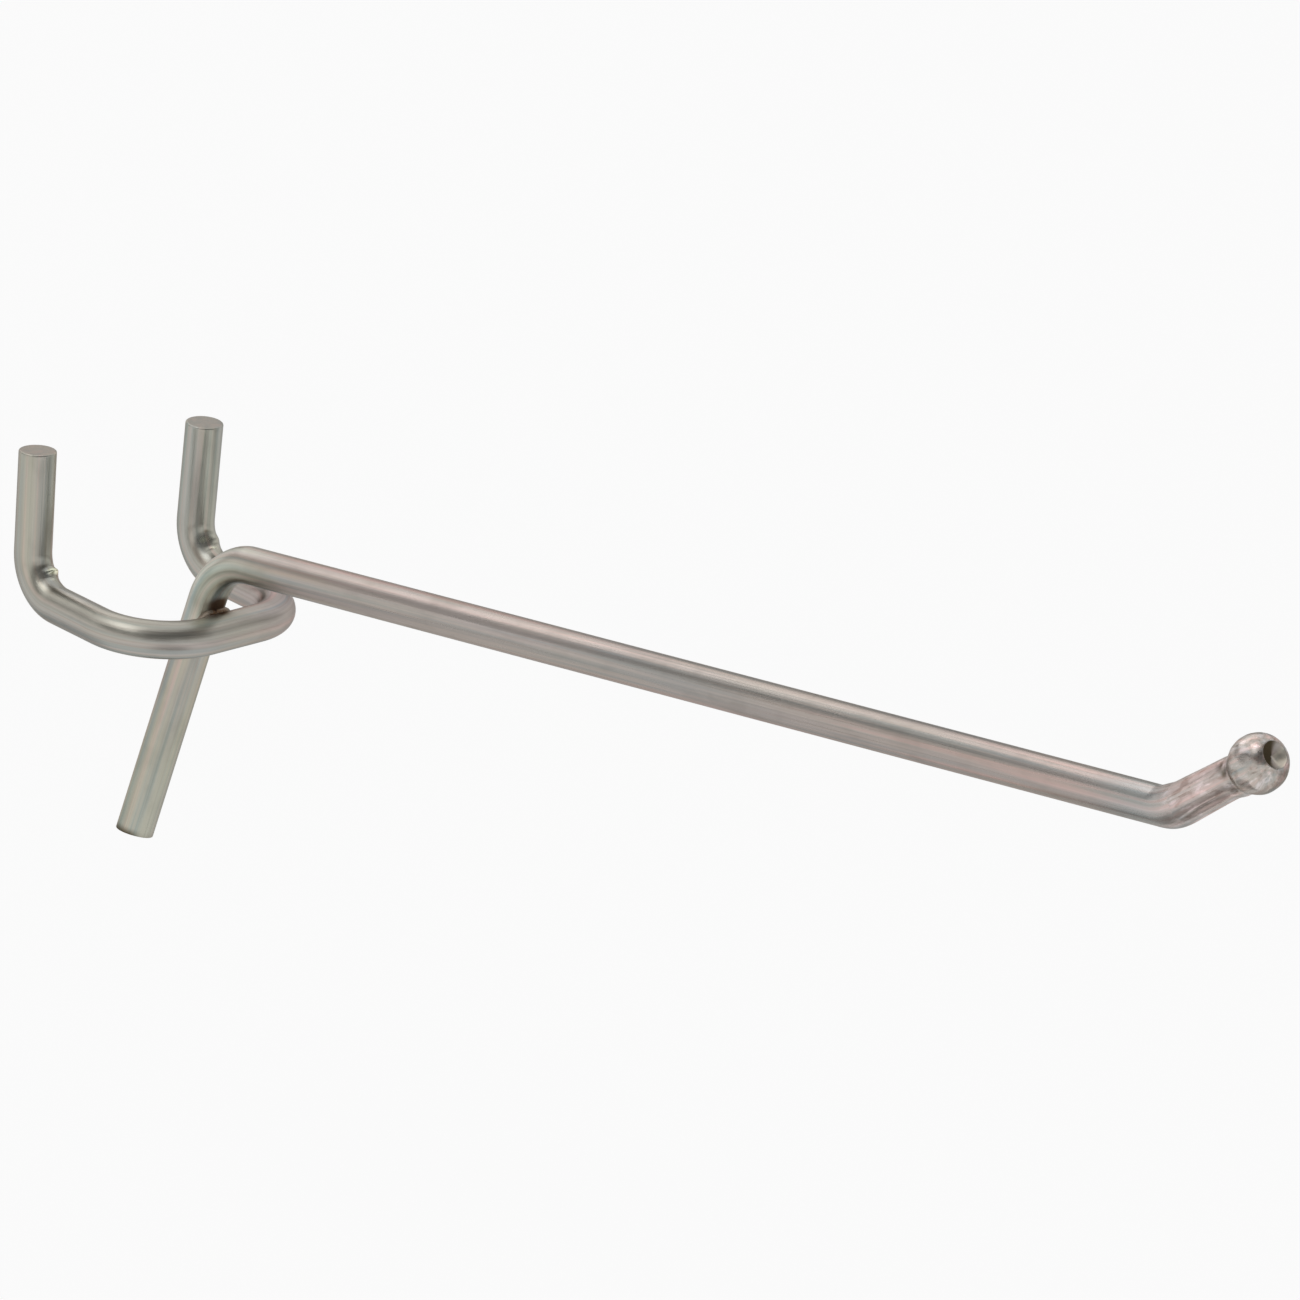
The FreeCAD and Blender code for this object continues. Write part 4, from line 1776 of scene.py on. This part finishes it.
@dataclass(frozen=True)
class Studio:
    """A plain pale floor under soft light.

    Attributes:
        floor_z: The floor's height, in metres.
        floor_size: Its side, in metres.
        aim: The point that the lamps and panels face, in metres.
        fill: The room's own level of light.
        floor_white: How much of the floor shows as plain white, and not as lit.
        card_lift: Height of the lying panels over the floor, in metres.
    """

    floor_z: float = -0.075
    floor_size: float = 12.0
    aim: Point = (0.0, -0.09, 0.02)
    fill: float = 0.55
    floor_white: float = 0.9
    card_lift: float = 0.001

    def build(self) -> None:
        """Lay the floor, hang the lamps and light the room."""
        self._floor()
        self._room()
        for lamp in self._lamps():
            lamp.hang(self.aim)
        for card in self._cards():
            card.stand(self.aim)

    def _lamps(self) -> list[Softbox]:
        """List the lamps.

        Returns:
            The key light on the board's side and the one overhead.
        """
        return [
            Softbox("key_softbox", Stand(12.0, 35.0, 1.7), (1.2, 0.30), 1.20, (1.0, 0.96, 0.94)),
            Softbox("top_softbox", Stand(-70.0, 62.0, 1.7), (1.2, 0.6), 1.45, (0.97, 0.98, 1.0)),
        ]

    def _cards(self) -> list[Card]:
        """List the panels that the plating mirrors.

        Returns:
            The standing panels and the ones on the floor.
        """
        floor = self.floor_z + self.card_lift
        return [
            Card("back_card", Stand(-22.0, 21.0, 1.6), (1.15, 0.42), 0.34),
            Card("side_card", Stand(46.0, 8.0, 1.5), (0.9, 0.50), 0.60),
            Card("right_card", Stand(115.0, 25.0, 1.3), (0.9, 0.70), 0.55),
            Card("front_card", Stand(165.0, 46.0, 1.4), (1.2, 1.50), 0.16),
            Card("left_card", Stand(-84.0, 31.0, 1.5), (1.6, 0.56), 0.20),
            Card("camera_card", Stand(-142.0, 44.0, 1.4), (1.2, 1.70), 0.17),
            Card("front_floor_card", (0.37, -0.40, floor), (0.54, 0.50), 0.60, True),
            # Painted shadow: these two dark patches lie on the floor under the arm and the knee,
            # where the hook's shadow falls, and show only in the plating's reflections.
            Card("under_arm_shadow_card", (-0.050, -0.165, floor), (0.10, 0.15), 0.42, True),
            Card("under_knee_shadow_card", (-0.045, 0.065, floor), (0.09, 0.07), 0.70, True),
        ]

    @staticmethod
    def _seen(tree: FinishTree) -> Signal:
        """Tell rays that show the backdrop from those that light the object.

        Args:
            tree: The material's or world's tree.

        Returns:
            1 for a ray from the camera, a reflection or glass, or else 0.
        """
        path = tree.make("ShaderNodeLightPath")
        camera, glossy, passing = (
            Signal(tree, path.outputs[name])
            for name in ("Is Camera Ray", "Is Glossy Ray", "Is Transmission Ray")
        )
        return camera | glossy | passing

    def _room(self) -> None:
        """Light the room evenly, and show it white."""
        world = bpy.data.worlds.new("room")
        bpy.context.scene.world = world
        tree = FinishTree(world)
        level = self.fill + (1.0 - self.fill) * self._seen(tree)
        glow = tree.make("ShaderNodeBackground", {}, {"Color": (1.0, 1.0, 1.0), "Strength": level})
        tree.make("ShaderNodeOutputWorld", {}, {"Surface": glow.outputs[0]})

    def _floor(self) -> None:
        """Lay a white floor that keeps a soft shadow."""
        floor = level_panel("floor", self.floor_size, self.floor_size)
        floor.location = (0.0, 0.0, self.floor_z)
        material = bpy.data.materials.new("white_floor")
        tree = FinishTree(material)
        lit = tree.make("ShaderNodeBsdfDiffuse", {}, {"Color": (0.92, 0.92, 0.92)})
        glow = tree.make("ShaderNodeEmission", {}, {"Color": (1.0, 1.0, 1.0), "Strength": 1.0})
        shown = self.floor_white * self._seen(tree)
        inputs = {0: shown, 1: lit.outputs[0], 2: glow.outputs[0]}
        both = tree.make("ShaderNodeMixShader", {}, inputs)
        tree.make("ShaderNodeOutputMaterial", {}, {"Surface": both.outputs[0]})
        floor.data.materials.append(material)


@dataclass(frozen=True)
class PhotoCamera:
    """The camera that took the photograph, fitted to the hook's outline.

    Attributes:
        azimuth: Its turn round the object from straight in front, in radians.
        elevation: Its angle above the horizon, in radians.
        roll: Its turn about its own view, in radians.
        distance: Distance from the point aimed at, in millimetres.
        aim: The point at the picture's middle, in millimetres.
        scale: Pixels of the photograph per millimetre at that point.
        picture: The photograph's width, in pixels.
        sensor: The sensor's width that the lens is given for, in millimetres.
    """

    azimuth: float = -0.7309611045
    elevation: float = 0.3410975773
    roll: float = 0.0882427387
    distance: float = 1635.957
    aim: Point = (0.0, -95.271, 23.251)
    scale: float = 8.4415205
    picture: float = 1300.0
    sensor: float = 36.0

    def place(self) -> None:
        """Make the camera, and make it the scene's own."""
        turn, rise, roll = self.azimuth, self.elevation, self.roll
        level = math.cos(rise)
        back = Vector((math.sin(turn) * level, -math.cos(turn) * level, math.sin(rise)))
        right = Vector((math.cos(turn), math.sin(turn), 0.0))
        up = back.cross(right)
        rolled = right * math.cos(roll) + up * math.sin(roll)
        upright = up * math.cos(roll) - right * math.sin(roll)
        lens = bpy.data.cameras.new("photo_camera")
        lens.sensor_width = self.sensor
        lens.sensor_fit = "HORIZONTAL"
        lens.lens = self.scale * self.distance / self.picture * self.sensor
        lens.clip_start, lens.clip_end = 0.01, 100.0
        camera = bpy.data.objects.new("photo_camera", lens)
        place = (Vector(self.aim) + back * self.distance) * MM
        turned = Matrix((rolled, upright, back)).transposed().to_4x4()
        camera.matrix_world = Matrix.Translation(place) @ turned
        bpy.context.scene.collection.objects.link(camera)
        bpy.context.scene.camera = camera


def main() -> None:
    """Dress every piece of the hook and set up the studio."""
    logging.basicConfig(level=logging.INFO, format="%(message)s")
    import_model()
    stock = Stock()
    for piece in (BackWire(stock), ArmWire(stock), WeldBead(stock)):
        made = piece.build()
        piece.dress(made)
        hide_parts(piece.node)
        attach(made, "root")
        LOG.info("%s: %d faces", made.name, len(made.data.polygons))
    Studio().build()
    PhotoCamera().place()
    bpy.context.scene.view_settings.view_transform = "Standard"


if __name__ == "__main__":
    main()
